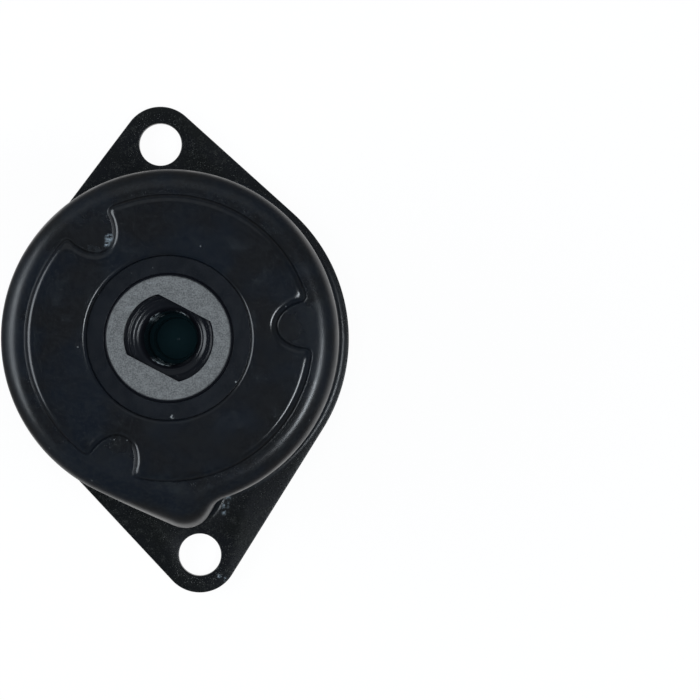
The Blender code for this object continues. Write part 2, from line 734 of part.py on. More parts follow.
def build_thrust_washer(parent, material):
    mesh = bmesh.new()
    bore_r = JOURNAL_R + FIT
    rim_r = bore_r + WASHER_WIDTH
    top = WASHER_Z + WASHER_T
    spun(mesh, [(bore_r, WASHER_Z), (rim_r, WASHER_Z), (rim_r, top), (bore_r, top)])
    return finish("thrust_washer", mesh, parent, material)


def build_retaining_ring(parent, material):
    """Open ring in the journal's groove, widest opposite its gap, with an eye in each lug."""
    mesh = bmesh.new()
    inner_r = JOURNAL_R - GROOVE_DEPTH + FIT
    span = 360 - 2 * RING_GAP
    inner = arc(Vector((0, 0, 0)), inner_r, RING_GAP, 360 - RING_GAP, RING_STEPS)
    outer = []
    for i in range(RING_STEPS + 1):
        angle = 360 - RING_GAP - span * i / RING_STEPS
        from_gap = min(angle, 360 - angle) - RING_GAP
        band = RING_BAND - RING_TAPER * math.cos(math.radians(angle))
        if from_gap < RING_LUG_ANGLE:
            band = RING_LUG
        outer.append(polar(inner_r + band, angle))
    eye_angle = RING_GAP + RING_LUG_ANGLE / 2
    eyes = [polar(inner_r + RING_EYE_OUT, side * eye_angle) for side in (1, -1)]
    rims = [ring(mesh, lifted(inner + outer, z)) for z in (RING_RECESS, RING_TOP_Z)]
    wall(mesh, *rims)
    bottom_eyes = [ring(mesh, circle(RING_EYE_R, RING_RECESS, EYE_STEPS, eye)) for eye in eyes]
    top_eyes = [ring(mesh, circle(RING_EYE_R, RING_TOP_Z, EYE_STEPS, eye)) for eye in eyes]
    for bottom, top in zip(bottom_eyes, top_eyes):
        wall(mesh, bottom, top)
    flat(mesh, rims[0], *bottom_eyes)
    flat(mesh, rims[1], *top_eyes)
    return finish("retaining_ring", mesh, parent, material)


def build_stop_plate(parent, material):
    """Disc keyed to the hub, with the curved slot that the stop pin stands in."""
    mesh = bmesh.new()
    levels = (STOP_PLATE_Z, STOP_PLATE_Z + STOP_PLATE_T)
    rim = [ring(mesh, circle(STOP_PLATE_R, z)) for z in levels]
    bore = [ring(mesh, double_d(STOP_SEAT_R + FIT, STOP_SEAT_HALF + FIT, 0, z)) for z in levels]
    slot_half = PIN_R + FIT
    centre = Vector((0, 0, 0))
    start = PIN_TURN - TRAVEL
    outline = arc(centre, PIN_CIRCLE_R + slot_half, start, PIN_TURN, SLOT_STEPS)
    outline += arc(polar(PIN_CIRCLE_R, PIN_TURN), slot_half, PIN_TURN, PIN_TURN + 180, SLOT_END_STEPS)[1:-1]
    outline += arc(centre, PIN_CIRCLE_R - slot_half, PIN_TURN, start, SLOT_STEPS)
    outline += arc(polar(PIN_CIRCLE_R, start), slot_half, start - 180, start, SLOT_END_STEPS)[1:-1]
    slot = [ring(mesh, lifted(outline, z)) for z in levels]
    for loops in (rim, bore, slot):
        wall(mesh, *loops)
    flat(mesh, rim[0], bore[0], slot[0])
    flat(mesh, rim[1], bore[1], slot[1])
    return finish("stop_plate", mesh, parent, material)


def build_stop_pin(parent, material):
    """Pin through the cover: riveted head behind, collar in front."""
    mesh = bmesh.new()
    pin = polar(PIN_CIRCLE_R, PIN_TURN)
    head_z = COVER_Z - FIT
    collar_z = COVER_TOP_Z + FIT
    pin_end = STOP_PLATE_Z + STOP_PLATE_T + PIN_CHAMFER
    steps = [
        (PIN_CROWN_R, head_z - PIN_HEAD_T),
        (PIN_HEAD_R, head_z - PIN_HEAD_EDGE),
        (PIN_HEAD_R, head_z),
        (PIN_R, head_z),
        (PIN_R, collar_z),
        (PIN_HEAD_R, collar_z),
        (PIN_HEAD_R, collar_z + PIN_HEAD_T),
        (PIN_R, collar_z + PIN_HEAD_T),
        (PIN_R, pin_end - PIN_CHAMFER),
        (PIN_R - PIN_CHAMFER, pin_end),
    ]
    rings = [ring(mesh, circle(radius, z, PIN_STEPS, pin)) for radius, z in steps]
    flat(mesh, rings[0])
    wall(mesh, *rings)
    flat(mesh, rings[-1])
    return finish("stop_pin", mesh, parent, material)


def main():
    for old in list(bpy.data.objects):
        bpy.data.objects.remove(old, do_unlink=True)

    black_paint = surface("black_paint", (0.010, 0.012, 0.015), 0.25, coat=0.6)
    black_nylon = surface("black_nylon", (0.014, 0.014, 0.015), 0.5)
    bare_steel = surface("bare_steel", (0.17, 0.18, 0.18), 0.5, metallic=0.6)
    plated_steel = surface("plated_steel", (0.45, 0.44, 0.40), 0.35, metallic=1.0)
    spring_steel = surface("spring_steel", (0.10, 0.10, 0.11), 0.4, metallic=1.0)
    pale_nylon = surface("pale_nylon", (0.55, 0.52, 0.44), 0.5)
    rubber = surface("rubber", (0.012, 0.012, 0.012), 0.7)

    fixed = axis_empty("housing_axis")
    turning = axis_empty("hub_axis")

    build_housing(fixed, black_paint)
    build_front_bush(fixed, black_nylon)
    build_spring_seat(fixed, pale_nylon)
    build_torsion_spring(fixed, spring_steel)
    build_rear_cover(fixed, plated_steel)
    build_rear_bush(fixed, black_nylon)
    build_stop_pin(fixed, bare_steel)

    build_hub(turning, bare_steel)
    build_hub_seal(turning, rubber)
    build_damping_ring(turning, pale_nylon)
    build_spring_carrier(turning, plated_steel)
    build_stop_plate(turning, plated_steel)
    build_thrust_washer(turning, plated_steel)
    build_retaining_ring(turning, spring_steel)


main()
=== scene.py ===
# %% [markdown]
# # Dressing a belt tensioner's spring unit
#
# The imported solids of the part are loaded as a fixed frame. Every cell below makes one visible piece
# or one finish, in metres, in that same frame: +Z runs from the flange's back to the hub's front
# face, and +Y from the mounting hole at the bulge to the other one. The unit stands on its flange.

# %% Load the frame
import math

import bmesh
import bpy
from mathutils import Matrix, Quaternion, Vector


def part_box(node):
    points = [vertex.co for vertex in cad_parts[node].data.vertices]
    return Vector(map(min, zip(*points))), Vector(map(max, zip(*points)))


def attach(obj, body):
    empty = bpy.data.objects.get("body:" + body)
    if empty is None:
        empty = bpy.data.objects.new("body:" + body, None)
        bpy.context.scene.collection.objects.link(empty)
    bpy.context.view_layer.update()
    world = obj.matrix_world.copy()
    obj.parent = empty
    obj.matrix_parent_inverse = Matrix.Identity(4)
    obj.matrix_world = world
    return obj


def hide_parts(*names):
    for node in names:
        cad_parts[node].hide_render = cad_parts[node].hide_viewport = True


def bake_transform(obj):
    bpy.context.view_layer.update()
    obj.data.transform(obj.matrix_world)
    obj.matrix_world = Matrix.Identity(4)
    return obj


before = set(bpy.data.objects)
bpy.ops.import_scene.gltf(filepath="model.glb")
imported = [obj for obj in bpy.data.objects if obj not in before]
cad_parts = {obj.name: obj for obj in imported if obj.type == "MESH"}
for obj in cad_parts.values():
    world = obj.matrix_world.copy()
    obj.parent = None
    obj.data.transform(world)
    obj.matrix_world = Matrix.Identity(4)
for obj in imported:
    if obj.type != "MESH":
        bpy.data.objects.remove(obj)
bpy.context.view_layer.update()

# %% [markdown]
# ## Sizes
#
# Whatever can be read from the frame is read from it, so the dressing follows the solids. The rest
# are the same driving sizes that the solids were drawn from: a designer keeps them in one place.

# %% Sizes read from the frame
housing_low, housing_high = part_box("housing")
hub_low, hub_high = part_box("hub")
AXIS = Vector((0, (hub_low.y + hub_high.y) / 2, 0))  # where the hub turns
HEIGHT = housing_high.z
FLANGE_R = housing_high.x
HUB_R = hub_high.x
HUB_FACE = hub_high.z
HUB_END = hub_low.z
HOLE_EDGE = 0.0094  # radius of the flange's round ends
HOLE_OUT = housing_high.y - HOLE_EDGE
print("hub axis at y =", round(AXIS.y * 1000, 2), "mm, holes at", round(HOLE_OUT * 1000, 2), "mm")

# %% Sizes of the drawn housing
SHEET = 0.0025
FIT = 0.0003
HOLE_R = 0.00525
CAN_R = FLANGE_R - 0.0028
FOOT = 0.0018  # inside radius where the wall turns into the flange
CORNER = 0.0053
CREST_R = CAN_R - CORNER
PLATEAU_R = CREST_R - 0.0005
PLATEAU_RISE = 0.0016
STEP_SHOULDER = 0.0023  # radius at the top of the step
STEP_FOOT = 0.0003  # radius at its foot
STEP_LEAN = 65.0  # degrees, the flank between them
CREST = HEIGHT - PLATEAU_RISE
POCKET_INSET = 0.0009  # edge of the plateau's underside, from its outer base
POCKET_SLOPE = 0.0013
OPENING_R = HUB_R + 0.004  # the bush's collar shows between the two
LIP = 0.0013  # rounded edge of the central opening
LIP_LEAN = 67.4  # degrees, how far that edge rolls over
GAP = 0.00004  # between pieces where the eye looks in
DENTS = 3
DENT_DEPTH = 0.0081
DENT_HALF = 0.0052  # half its width at the mouth
DENT_MOUTH = 0.002  # rounding of the mouth's two corners
EDGE_ROUND = 0.00025  # broken edges of the punched flange

# %% Sizes of the bulge that holds the spring's leg
BULGE_START = 238.6  # degrees, where the straight wall leaves the round one
BULGE_OUT = 0.0055
BULGE_TIP = 0.0062
BULGE_FLANK = 57.0  # degrees, direction of the steep wall behind the tip
BULGE_FILLET = 0.005
BULGE_CORNER = 0.0134
BULGE_TIGHT = 0.15  # how much the bulge's corner keeps its bend close to the rim


# %% [markdown]
# ## Outlines from a few arcs
#
# A pressed part is drawn with arcs and tangents, so its outline is computed from a few radii and
# angles and not traced. Each point of the can's outline keeps its outward normal: a sheet has the
# same outline on its other side, moved along that normal.

# %% Points on arcs
CENTRE = Vector((0, 0, 0))


def polar(radius, degrees, height=0.0):
    angle = math.radians(degrees)
    return Vector((radius * math.cos(angle), radius * math.sin(angle), height))


def arc(centre, radius, start, end, steps):
    return [centre + polar(radius, start + (end - start) * i / steps) for i in range(steps + 1)]


def heading(vector):
    return math.degrees(math.atan2(vector.y, vector.x))


def at_height(points, height):
    return [AXIS + Vector((point.x, point.y, height)) for point in points]


def circle(radius, steps=144, centre=CENTRE):
    return arc(centre, radius, 0, 360, steps)[:-1]


def bent(start, corner, end, share):
    """The point at a share of a soft bend, which leaves the start towards the corner."""
    return (1 - share) ** 2 * start + 2 * share * (1 - share) * corner + share**2 * end


print("a quarter arc has", len(arc(CENTRE, 1, 0, 90, 12)), "points")


# %% Outline of the can, with its bulge
def can_outline():
    """Anticlockwise (point, outward normal) pairs about the hub axis."""
    out, along = polar(1, BULGE_START), polar(1, BULGE_START + 90)
    flank_out, flank_along = polar(1, BULGE_FLANK - 90), polar(1, BULGE_FLANK)
    tip_out = CAN_R - BULGE_TIP
    tip_along = math.sqrt((CAN_R + BULGE_OUT - BULGE_TIP) ** 2 - tip_out**2)
    tip = tip_out * out + tip_along * along
    reach = tip.dot(flank_out) + BULGE_TIP + BULGE_FILLET
    fillet = reach * flank_out - math.sqrt((CAN_R + BULGE_FILLET) ** 2 - reach**2) * flank_along
    rejoin = heading(fillet) % 360
    flank = BULGE_FLANK + 270
    pairs = []
    for i in range(24):
        pairs.append((CAN_R * out + tip_along * i / 24 * along, out))
    for point in arc(tip, BULGE_TIP, BULGE_START, flank, 30):
        pairs.append((point, (point - tip).normalized()))
    for point in arc(fillet, BULGE_FILLET, flank - 180, rejoin - 180, 16):
        pairs.append((point, (fillet - point).normalized()))
    for point in arc(CENTRE, CAN_R, rejoin, BULGE_START + 360, 200)[1:-1]:
        pairs.append((point, point.normalized()))
    return pairs


CAN = can_outline()
print("the can's outline has", len(CAN), "points")


# %% Outlines of the flange and of the dented plateau
def flange_outline(inset):
    top, bottom = Vector((0, HOLE_OUT, 0)) - AXIS, Vector((0, -HOLE_OUT, 0)) - AXIS
    tip_r, side_r = HOLE_EDGE - inset, FLANGE_R - inset
    top_half = math.degrees(math.acos((side_r - tip_r) / top.length))
    bottom_half = math.degrees(math.acos((side_r - tip_r) / bottom.length))
    points = arc(top, tip_r, 90 - top_half, 90 + top_half, 40)
    points += arc(CENTRE, side_r, 90 + top_half, 270 - bottom_half, 70)
    points += arc(bottom, tip_r, 270 - bottom_half, 270 + bottom_half, 40)
    points += arc(CENTRE, side_r, bottom_half - 90, 90 - top_half, 70)
    return points


def dent_side(turn, swing, inset):
    """A point of a dent's elliptic side, moved out of the dent by the inset."""
    inward, across = -polar(1, turn), polar(1, turn + 90)
    along, aside = math.cos(math.radians(swing)), math.sin(math.radians(swing))
    point = -PLATEAU_R * inward + DENT_DEPTH * along * inward + DENT_HALF * aside * across
    normal = (along / DENT_DEPTH * inward + aside / DENT_HALF * across).normalized()
    return point + inset * normal


def plateau_outline(inset, mouth_steps=8, side_steps=40):
    """A circle that a dent enters at every third of a turn, through a mouth with soft corners."""
    edge_r = PLATEAU_R - inset
    low, high = 0.0, 90.0
    while high - low > 1e-6:
        swing = (low + high) / 2
        if dent_side(0, swing, inset).length < edge_r:
            low = swing
        else:
            high = swing
    half = heading(dent_side(0, low, inset))
    cut = math.degrees(DENT_MOUTH / edge_r)
    reach = low - math.degrees(DENT_MOUTH / DENT_DEPTH)
    points = []
    for i in range(DENTS):
        turn = 360 * i / DENTS
        for side in (-1, 1):
            outside = polar(edge_r, turn + side * (half + cut))
            corner, inside = polar(edge_r, turn + side * half), dent_side(turn, side * reach, inset)
            shares = [step / mouth_steps for step in range(mouth_steps + 1)]
            mouth = [bent(outside, corner, inside, share) for share in shares]
            if side < 0:
                swings = [reach * (2 * step / side_steps - 1) for step in range(1, side_steps)]
                points += mouth + [dent_side(turn, swing, inset) for swing in swings]
            else:
                points += mouth[::-1]
        points += arc(CENTRE, edge_r, turn + half + cut, turn + 360 / DENTS - half - cut, 48)[1:-1]
    return points


print("the flange has", len(flange_outline(0)), "points, the plateau", len(plateau_outline(0)))


# %% [markdown]
# ## Helpers for meshes
#
# A loop of edges is the start of most pieces here. `grow` extrudes a loop and puts its new corners
# where a list of places says, which keeps clean quads between two loops of the same count. Flat
# faces between unlike loops come from triangle fill. `finish_piece` turns the bmesh into an object.

# %% Loops, walls and flats
def loop(mesh, points):
    corners = [mesh.verts.new(point) for point in points]
    return [mesh.edges.new(pair) for pair in zip(corners, corners[1:] + corners[:1])]


def grow(mesh, start, *rings):
    """Extrudes the loop through each ring of places in turn, and returns the last loop."""
    corners = [edge.verts[0] for edge in start]
    edges = start
    for places in rings:
        made = bmesh.ops.extrude_edge_only(mesh, edges=edges)["geom"]
        fresh = {item for item in made if isinstance(item, bmesh.types.BMVert)}
        following = []
        for corner in corners:
            ends = [edge.other_vert(corner) for edge in corner.link_edges]
            following.append(next(end for end in ends if end in fresh))
        for corner, place in zip(following, places):
            corner.co = place
        corners = following
        new_edges = [item for item in made if isinstance(item, bmesh.types.BMEdge)]
        edges = [edge for edge in new_edges if set(edge.verts) <= fresh]
    last_loop = []
    for first, second in zip(corners, corners[1:] + corners[:1]):
        last_loop.append(next(edge for edge in first.link_edges if edge.other_vert(first) == second))
    return last_loop


def flat(mesh, *loops):
    edges = [edge for one in loops for edge in one]
    bmesh.ops.triangle_fill(mesh, use_beauty=True, edges=edges)


def finish_piece(name, mesh, material, body, slot, *nodes, sharp=40):
    """The object of a finished bmesh, riding on its body and standing for its CAD nodes."""
    bmesh.ops.remove_doubles(mesh, verts=mesh.verts, dist=1e-7)
    bmesh.ops.recalc_face_normals(mesh, faces=mesh.faces)
    data = bpy.data.meshes.new(name)
    mesh.to_mesh(data)
    mesh.free()
    data.shade_smooth()
    data.set_sharp_from_angle(angle=math.radians(sharp))
    data.materials.append(material)
    piece = bpy.data.objects.new(name, data)
    bpy.context.scene.collection.objects.link(piece)
    if body:
        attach(piece, body)
    if nodes:
        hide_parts(*nodes)
    print(name, "has", sum(len(face.vertices) - 2 for face in data.polygons), "triangles")
    return piece


# %% [markdown]
# ## Helpers for materials
#
# A material is a small graph of nodes. `Graph` keeps the calls short: `add` makes a node with its
# settings and inputs, and an input may be a number or the output of another node. All patterns read
# Object coordinates in metres, so their scale is a count per metre and they stay put on the piece.

# %% A short way to write node graphs
class Graph:
    def __init__(self, tree):
        self.tree = tree

    def add(self, kind, settings=None, **inputs):
        node = self.tree.nodes.new(kind)
        for name, value in (settings or {}).items():
            setattr(node, name, value)
        for name, value in inputs.items():
            self.put(node, name, value)
        return node

    def put(self, node, name, value):
        found = [s for s in node.inputs if s.name.replace(" ", "_") == name and s.enabled]
        sockets = found or [node.inputs[int(name[1:])]]
        if isinstance(value, bpy.types.NodeSocket):
            self.tree.links.new(value, sockets[0])
        else:
            sockets[0].default_value = value

    def math(self, operation, first, second=0.0):
        node = self.add("ShaderNodeMath", {"operation": operation})
        self.put(node, "i0", first)
        self.put(node, "i1", second)
        return node.outputs[0]

    def vector_math(self, operation, first, second=(0.0, 0.0, 0.0), output="Vector"):
        settings = {"operation": operation}
        return self.add("ShaderNodeVectorMath", settings, i0=first, i1=second).outputs[output]

    def ramp(self, value, low, high, to_low=0.0, to_high=1.0):
        """A smooth step: to_low up to the value low, to_high from the value high on."""
        limits = {"From_Min": low, "From_Max": high, "To_Min": to_low, "To_Max": to_high}
        settings = {"interpolation_type": "SMOOTHSTEP"}
        return self.add("ShaderNodeMapRange", settings, Value=value, **limits).outputs[0]

    def mix(self, share, first, second):
        """From the first colour to the second."""
        settings = {"data_type": "RGBA"}
        return self.add("ShaderNodeMix", settings, i0=share, i6=first, i7=second).outputs[2]

    def between(self, share, first, second):
        """From the first number to the second."""
        return self.add("ShaderNodeMix", None, i0=share, i2=first, i3=second).outputs[0]

    def noise(self, scale, place=None, detail=2.0, roughness=0.5):
        pattern = {"Scale": scale, "Detail": detail, "Roughness": roughness}
        place = place or self.place()
        return self.add("ShaderNodeTexNoise", None, Vector=place, **pattern).outputs[0]

    def place(self):
        return self.add("ShaderNodeTexCoord").outputs["Object"]

    def radius_and_height(self):
        """Distance from the hub's axis, and height above the flange's back."""
        split = self.add("ShaderNodeSeparateXYZ", None, Vector=self.place()).outputs
        aside = self.math("SUBTRACT", split["Y"], AXIS.y)
        squares = [self.math("POWER", side, 2.0) for side in (split["X"], aside)]
        return self.math("SQRT", self.math("ADD", *squares)), split["Z"]

    def scale_along(self, scale, turned_by=0.0):
        """Object coordinates, scaled by its own count per metre along each axis."""
        turn = (0.0, 0.0, turned_by)
        node = self.add("ShaderNodeMapping", None, Vector=self.place(), Scale=scale, Rotation=turn)
        return node.outputs[0]

    def group(self, tree, **inputs):
        return self.add("ShaderNodeGroup", {"node_tree": tree}, **inputs).outputs[0]

    def bump(self, shader, strength, distance, height):
        """Bends the shader's normals by a height pattern that is so many metres deep."""
        relief = {"Strength": strength, "Distance": distance, "Height": height}
        self.put(shader, "Normal", self.add("ShaderNodeBump", None, **relief).outputs[0])


def new_material(name, **constants):
    """A Principled material whose constants are set on the shader's own sockets."""
    material = bpy.data.materials.new(name)
    material.use_nodes = True
    shader = material.node_tree.nodes["Principled BSDF"]
    for socket, value in constants.items():
        shader.inputs[socket.replace("_", " ")].default_value = value
    return material, Graph(material.node_tree), shader


def new_group(name, inputs, output):
    """A node group with named number inputs and one output; returns its tree, graph and ends."""
    tree = bpy.data.node_groups.new(name, "ShaderNodeTree")
    for label, value in inputs.items():
        socket = tree.interface.new_socket(label, in_out="INPUT", socket_type="NodeSocketFloat")
        socket.default_value = value
    tree.interface.new_socket(output, in_out="OUTPUT", socket_type="NodeSocketFloat")
    graph = Graph(tree)
    return tree, graph, graph.add("NodeGroupInput").outputs, graph.add("NodeGroupOutput").inputs


print("material helpers are ready")

# %% [markdown]
# ## Effects that several finishes share
#
# Several finishes need the same effects, so each is built once, as a node group with its own inputs.
# *Dust* is a scatter of pale specks: a Voronoi cell near its own point, kept only where the cell's
# random colour allows it. *Grain* is a fine two-scale noise for machined or blasted surfaces. A
# *scuff and glint* is a torn patch round one place: the nylon's chip, pale specks on the flange, and
# painted highlights on the housing and the hub. Each puts out one number, which a material uses as it
# needs.

# %% Dust specks
inputs = {"Per Metre": 400.0, "Size": 0.12, "Amount": 0.3}
dust, g, given, result = new_group("dust specks", inputs, "Mask")
cells = g.add("ShaderNodeTexVoronoi", None, Vector=g.place(), Scale=given["Per Metre"])
spot = g.ramp(cells.outputs["Distance"], 0.0, given["Size"], 1.0, 0.0)
keep = g.add("ShaderNodeSeparateColor", None, Color=cells.outputs["Color"]).outputs[0]
kept = g.math("LESS_THAN", keep, given["Amount"])
dust.links.new(g.math("MULTIPLY", spot, kept), result["Mask"])
print("made", dust.name)

# %% Grain
inputs = {"Per Metre": 3000.0, "Coarse Share": 0.5}
grain, g, given, result = new_group("fine grain", inputs, "Height")
fine = g.noise(given["Per Metre"], detail=3.0)
coarse = g.noise(g.math("MULTIPLY", given["Per Metre"], 0.25))
coarse_part = g.math("MULTIPLY", coarse, given["Coarse Share"])
fine_part = g.math("MULTIPLY", fine, g.math("SUBTRACT", 1.0, given["Coarse Share"]))
grain.links.new(g.math("ADD", fine_part, coarse_part), result["Height"])
print("made", grain.name)

# %% Scuffs and painted highlights
inputs = {"X": 0.0, "Y": 0.0, "Size": 0.002}
scuff_and_glint, g, given, result = new_group("scuff_and_glint", inputs, "Mask")
centre = g.add("ShaderNodeCombineXYZ", None, X=given["X"], Y=given["Y"], Z=0.0).outputs[0]
seen_from_above = g.vector_math("MULTIPLY", g.place(), (1.0, 1.0, 0.0))
distance = g.vector_math("DISTANCE", seen_from_above, centre, output="Value")
near = g.ramp(g.math("DIVIDE", distance, given["Size"]), 0.2, 1.0, 1.0, 0.0)
torn = g.ramp(g.noise(1400.0, detail=3.0), 0.42, 0.62)
scuff_and_glint.links.new(g.math("MULTIPLY", near, torn), result["Mask"])
print("made", scuff_and_glint.name)

# %% [markdown]
# ## Black paint
#
# The housing is dipped in black paint. On the drawn can it flowed smooth and glossy, with a slight
# orange peel, cloudy blue patches and a thin film of dirt, while the flange stayed dry and gritty. A
# few pale spots are painted highlights, along the foot of the bulge's flank and on a dent's side, and
# two are pale specks on the flange. Two materials would leave a hard line at the wall's foot, so
# one covers both, as one coat on one sheet: height and distance from the axis decide between them.

# %% Places and limits of the paint's looks
PAINTED_GLINTS_AND_SPECKS = (  # painted highlights and pale specks: x, y and radius
    (-0.0115, 0.0271, 0.0013),
    (-0.0122, 0.0258, 0.0011),
    (0.0081, -0.038, 0.0013),
    (0.0075, -0.0395, 0.0013),
    (0.0069, -0.041, 0.0012),
    (0.0043, -0.0568, 0.0008),
    (0.0058, -0.0579, 0.0008),
)
DRY_HEIGHT = 0.008  # above the flange, where the wall's paint is at its driest
print("the paint is rubbed thin at", len(PAINTED_GLINTS_AND_SPECKS), "places")

# %% Dry paint of the flange
black_paint, g, shader = new_material("black_paint", Specular_IOR_Level=0.5)
radius, height = g.radius_and_height()
uneven = g.ramp(g.noise(900.0), 0.3, 0.7, -0.00012, 0.00012)
above = g.ramp(g.math("ADD", height, uneven), SHEET + 0.0001, SHEET + 0.0009)
beside = g.ramp(g.math("ADD", radius, uneven), CAN_R + 0.0016, CAN_R + 0.0026, 0.85, 0.0)
gloss = g.math("MAXIMUM", above, beside)
flange_grain = g.group(grain, Per_Metre=2600.0, Coarse_Share=0.45)
tint = g.ramp(g.noise(70.0), 0.4, 0.6)
flange_dark = g.mix(tint, (0.0026, 0.0029, 0.0023, 1), (0.0026, 0.0028, 0.0036, 1))
flange_pale = g.mix(g.ramp(flange_grain, 0.48, 0.68), flange_dark, (0.017, 0.0174, 0.0162, 1))
grit = g.group(dust, Per_Metre=1100.0, Size=0.3, Amount=0.2)
flange_colour = g.mix(g.math("MULTIPLY", grit, 0.6), flange_pale, (0.055, 0.056, 0.05, 1))
flange_rough = g.ramp(flange_grain, 0.35, 0.7, 0.32, 0.22)
flange_relief = g.math("MULTIPLY", flange_grain, 0.2)
print("made the flange's look")

# %% Gloss paint of the can
blotch = g.ramp(g.noise(75.0, detail=4.0, roughness=0.6), 0.38, 0.64)
can_colour = g.mix(blotch, (0.0052, 0.0049, 0.0052, 1), (0.0024, 0.0042, 0.0078, 1))
smudge = g.ramp(g.noise(190.0, detail=5.0, roughness=0.65), 0.54, 0.72)
smudged = g.mix(g.math("MULTIPLY", smudge, 0.5), can_colour, (0.014, 0.017, 0.02, 1))
film = g.ramp(g.noise(1300.0, detail=3.0, roughness=0.7), 0.4, 0.68, 0.0, 0.5)
filmed = g.mix(film, smudged, (0.013, 0.0145, 0.0155, 1))
specks = g.group(dust, Per_Metre=330.0, Size=0.085, Amount=0.14)
dusty = g.mix(g.math("MULTIPLY", specks, 0.75), filmed, (0.2, 0.21, 0.21, 1))
dry_wall = g.ramp(height, SHEET, SHEET + DRY_HEIGHT, 0.1, 0.16)
smooth_front = g.ramp(height, CREST - 0.0015, CREST + 0.0012, 0.16, 0.0)
uneven_gloss = g.ramp(g.math("MAXIMUM", smudge, blotch), 0.0, 1.0, 0.17, 0.25)
can_rough = g.math("ADD", g.math("MINIMUM", dry_wall, smooth_front), uneven_gloss)
orange_peel = g.math("MULTIPLY", g.noise(420.0, detail=1.0), 0.12)
print("made the can's look")

# %% Painted highlights and specks, and the paint as a whole
# Three spots along the foot of the bulge's flank and two on a dent's side are painted highlights; two
# on the flange are pale specks.
glint_and_speck_mask = 0.0
for x, y, size in PAINTED_GLINTS_AND_SPECKS:
    glint_and_speck_mask = g.math("MAXIMUM", glint_and_speck_mask, g.group(scuff_and_glint, X=x, Y=y, Size=size))
glint_and_speck_mask = g.math("MULTIPLY", glint_and_speck_mask, g.ramp(height, SHEET * 0.5, SHEET * 0.9))
coat = g.mix(gloss, flange_colour, dusty)
# The pale colour at those spots is a painted highlight, and a pale speck on the flange.
g.put(shader, "Base_Color", g.mix(glint_and_speck_mask, coat, (0.2, 0.24, 0.27, 1)))
g.put(shader, "Roughness", g.between(gloss, flange_rough, can_rough))
g.bump(shader, 0.5, 0.0003, g.between(gloss, flange_relief, orange_peel))
print("made", black_paint.name)

# %% [markdown]
# ## The drawn housing
#
# The can and its flange are one pressed sheet. The outer skin starts at the wall's foot, climbs the
# wall and rolls over the front corner, deeper where the bulge is. The front is a plateau with three
# dents and a rounded central opening. The skin behind is the same shape, one sheet further in.
#
# A spun can with a bulge pulled out of it would thin the sheet there. Here each ring of points is
# worked out from the can's outline and its normals, so the sheet keeps its thickness all round.

# %% Rings of the can's wall and corner
def foot_rings(radius, steps=6):
    rings = []
    for step in range(steps + 1):
        lean = math.radians(90 * step / steps)
        out, level = FOOT - radius * math.sin(lean), SHEET + FOOT - radius * math.cos(lean)
        rings.append(at_height([point + out * normal for point, normal in CAN], level))
    return rings


def corner_rings(start_inset, top, drop_less, steps=14):
    """From the wall to the crest circle: quarter ellipses, fuller where the wall bulges."""
    rings = []
    for step in range(steps + 1):
        lean = math.radians(90 * step / steps)
        places = []
        for point, normal in CAN:
            side = point - start_inset * normal
            crest = CREST_R * side.normalized()
            swell = (point.length - CAN_R) / BULGE_OUT
            drop = CORNER + swell * (BULGE_CORNER - CORNER) - drop_less
            power = 1 - BULGE_TIGHT * swell
            spot = crest + (side - crest) * math.cos(lean) ** power
            level = top - drop * (1 - math.sin(lean) ** power)
            places.append(AXIS + Vector((spot.x, spot.y, level)))
        rings.append(places)
    return rings


def step_profile(foot_steps=3, shoulder_steps=9):
    """(inset, rise) pairs up the plateau's step: a foot radius, a flank and a shoulder radius."""
    lean = math.radians(STEP_LEAN)
    curves = STEP_SHOULDER + STEP_FOOT
    flank = (PLATEAU_RISE - curves * (1 - math.cos(lean))) / math.sin(lean)
    run = curves * math.sin(lean) + flank * math.cos(lean)
    pairs = []
    for i in range(foot_steps + 1):
        tilt = lean * i / foot_steps
        pairs.append((STEP_FOOT * math.sin(tilt), STEP_FOOT * (1 - math.cos(tilt))))
    for i in range(shoulder_steps + 1):
        tilt = lean * (1 - i / shoulder_steps)
        rise = PLATEAU_RISE - STEP_SHOULDER * (1 - math.cos(tilt))
        pairs.append((run - STEP_SHOULDER * math.sin(tilt), rise))
    return pairs


def step_rings():
    return [at_height(plateau_outline(inset), CREST + rise) for inset, rise in step_profile()]


def lip_rings(steps=5):
    rings = []
    for i in range(steps + 1):
        lean = math.radians(LIP_LEAN * i / steps)
        radius = OPENING_R + LIP * (math.sin(math.radians(LIP_LEAN)) - math.sin(lean))
        rings.append(at_height(circle(radius), HEIGHT - LIP * (1 - math.cos(lean))))
    return rings


print("corner of", round(CORNER * 1000, 1), "mm, and", round(BULGE_CORNER * 1000, 1), "mm at the bulge")


# %% Rings of punched edges
def punched_edge(outline, z_low, z_high, steps=3):
    """A sheared edge from z_low to z_high with both corners a little rounded."""
    rings = []
    for i in range(steps + 1):
        lean = math.radians(90 * i / steps)
        level = z_low + EDGE_ROUND * (1 - math.sin(lean))
        rings.append(at_height(outline(EDGE_ROUND * (1 - math.cos(lean))), level))
    rings = rings[::-1]
    upper = [[Vector((p.x, p.y, z_low + z_high - p.z)) for p in ring] for ring in rings]
    return rings + upper[::-1]


def hole_edge(side):
    centre = Vector((0, side * HOLE_OUT, 0)) - AXIS
    return lambda inset: circle(HOLE_R + inset, 72, centre)


print("broken edges of", EDGE_ROUND * 1000, "mm")

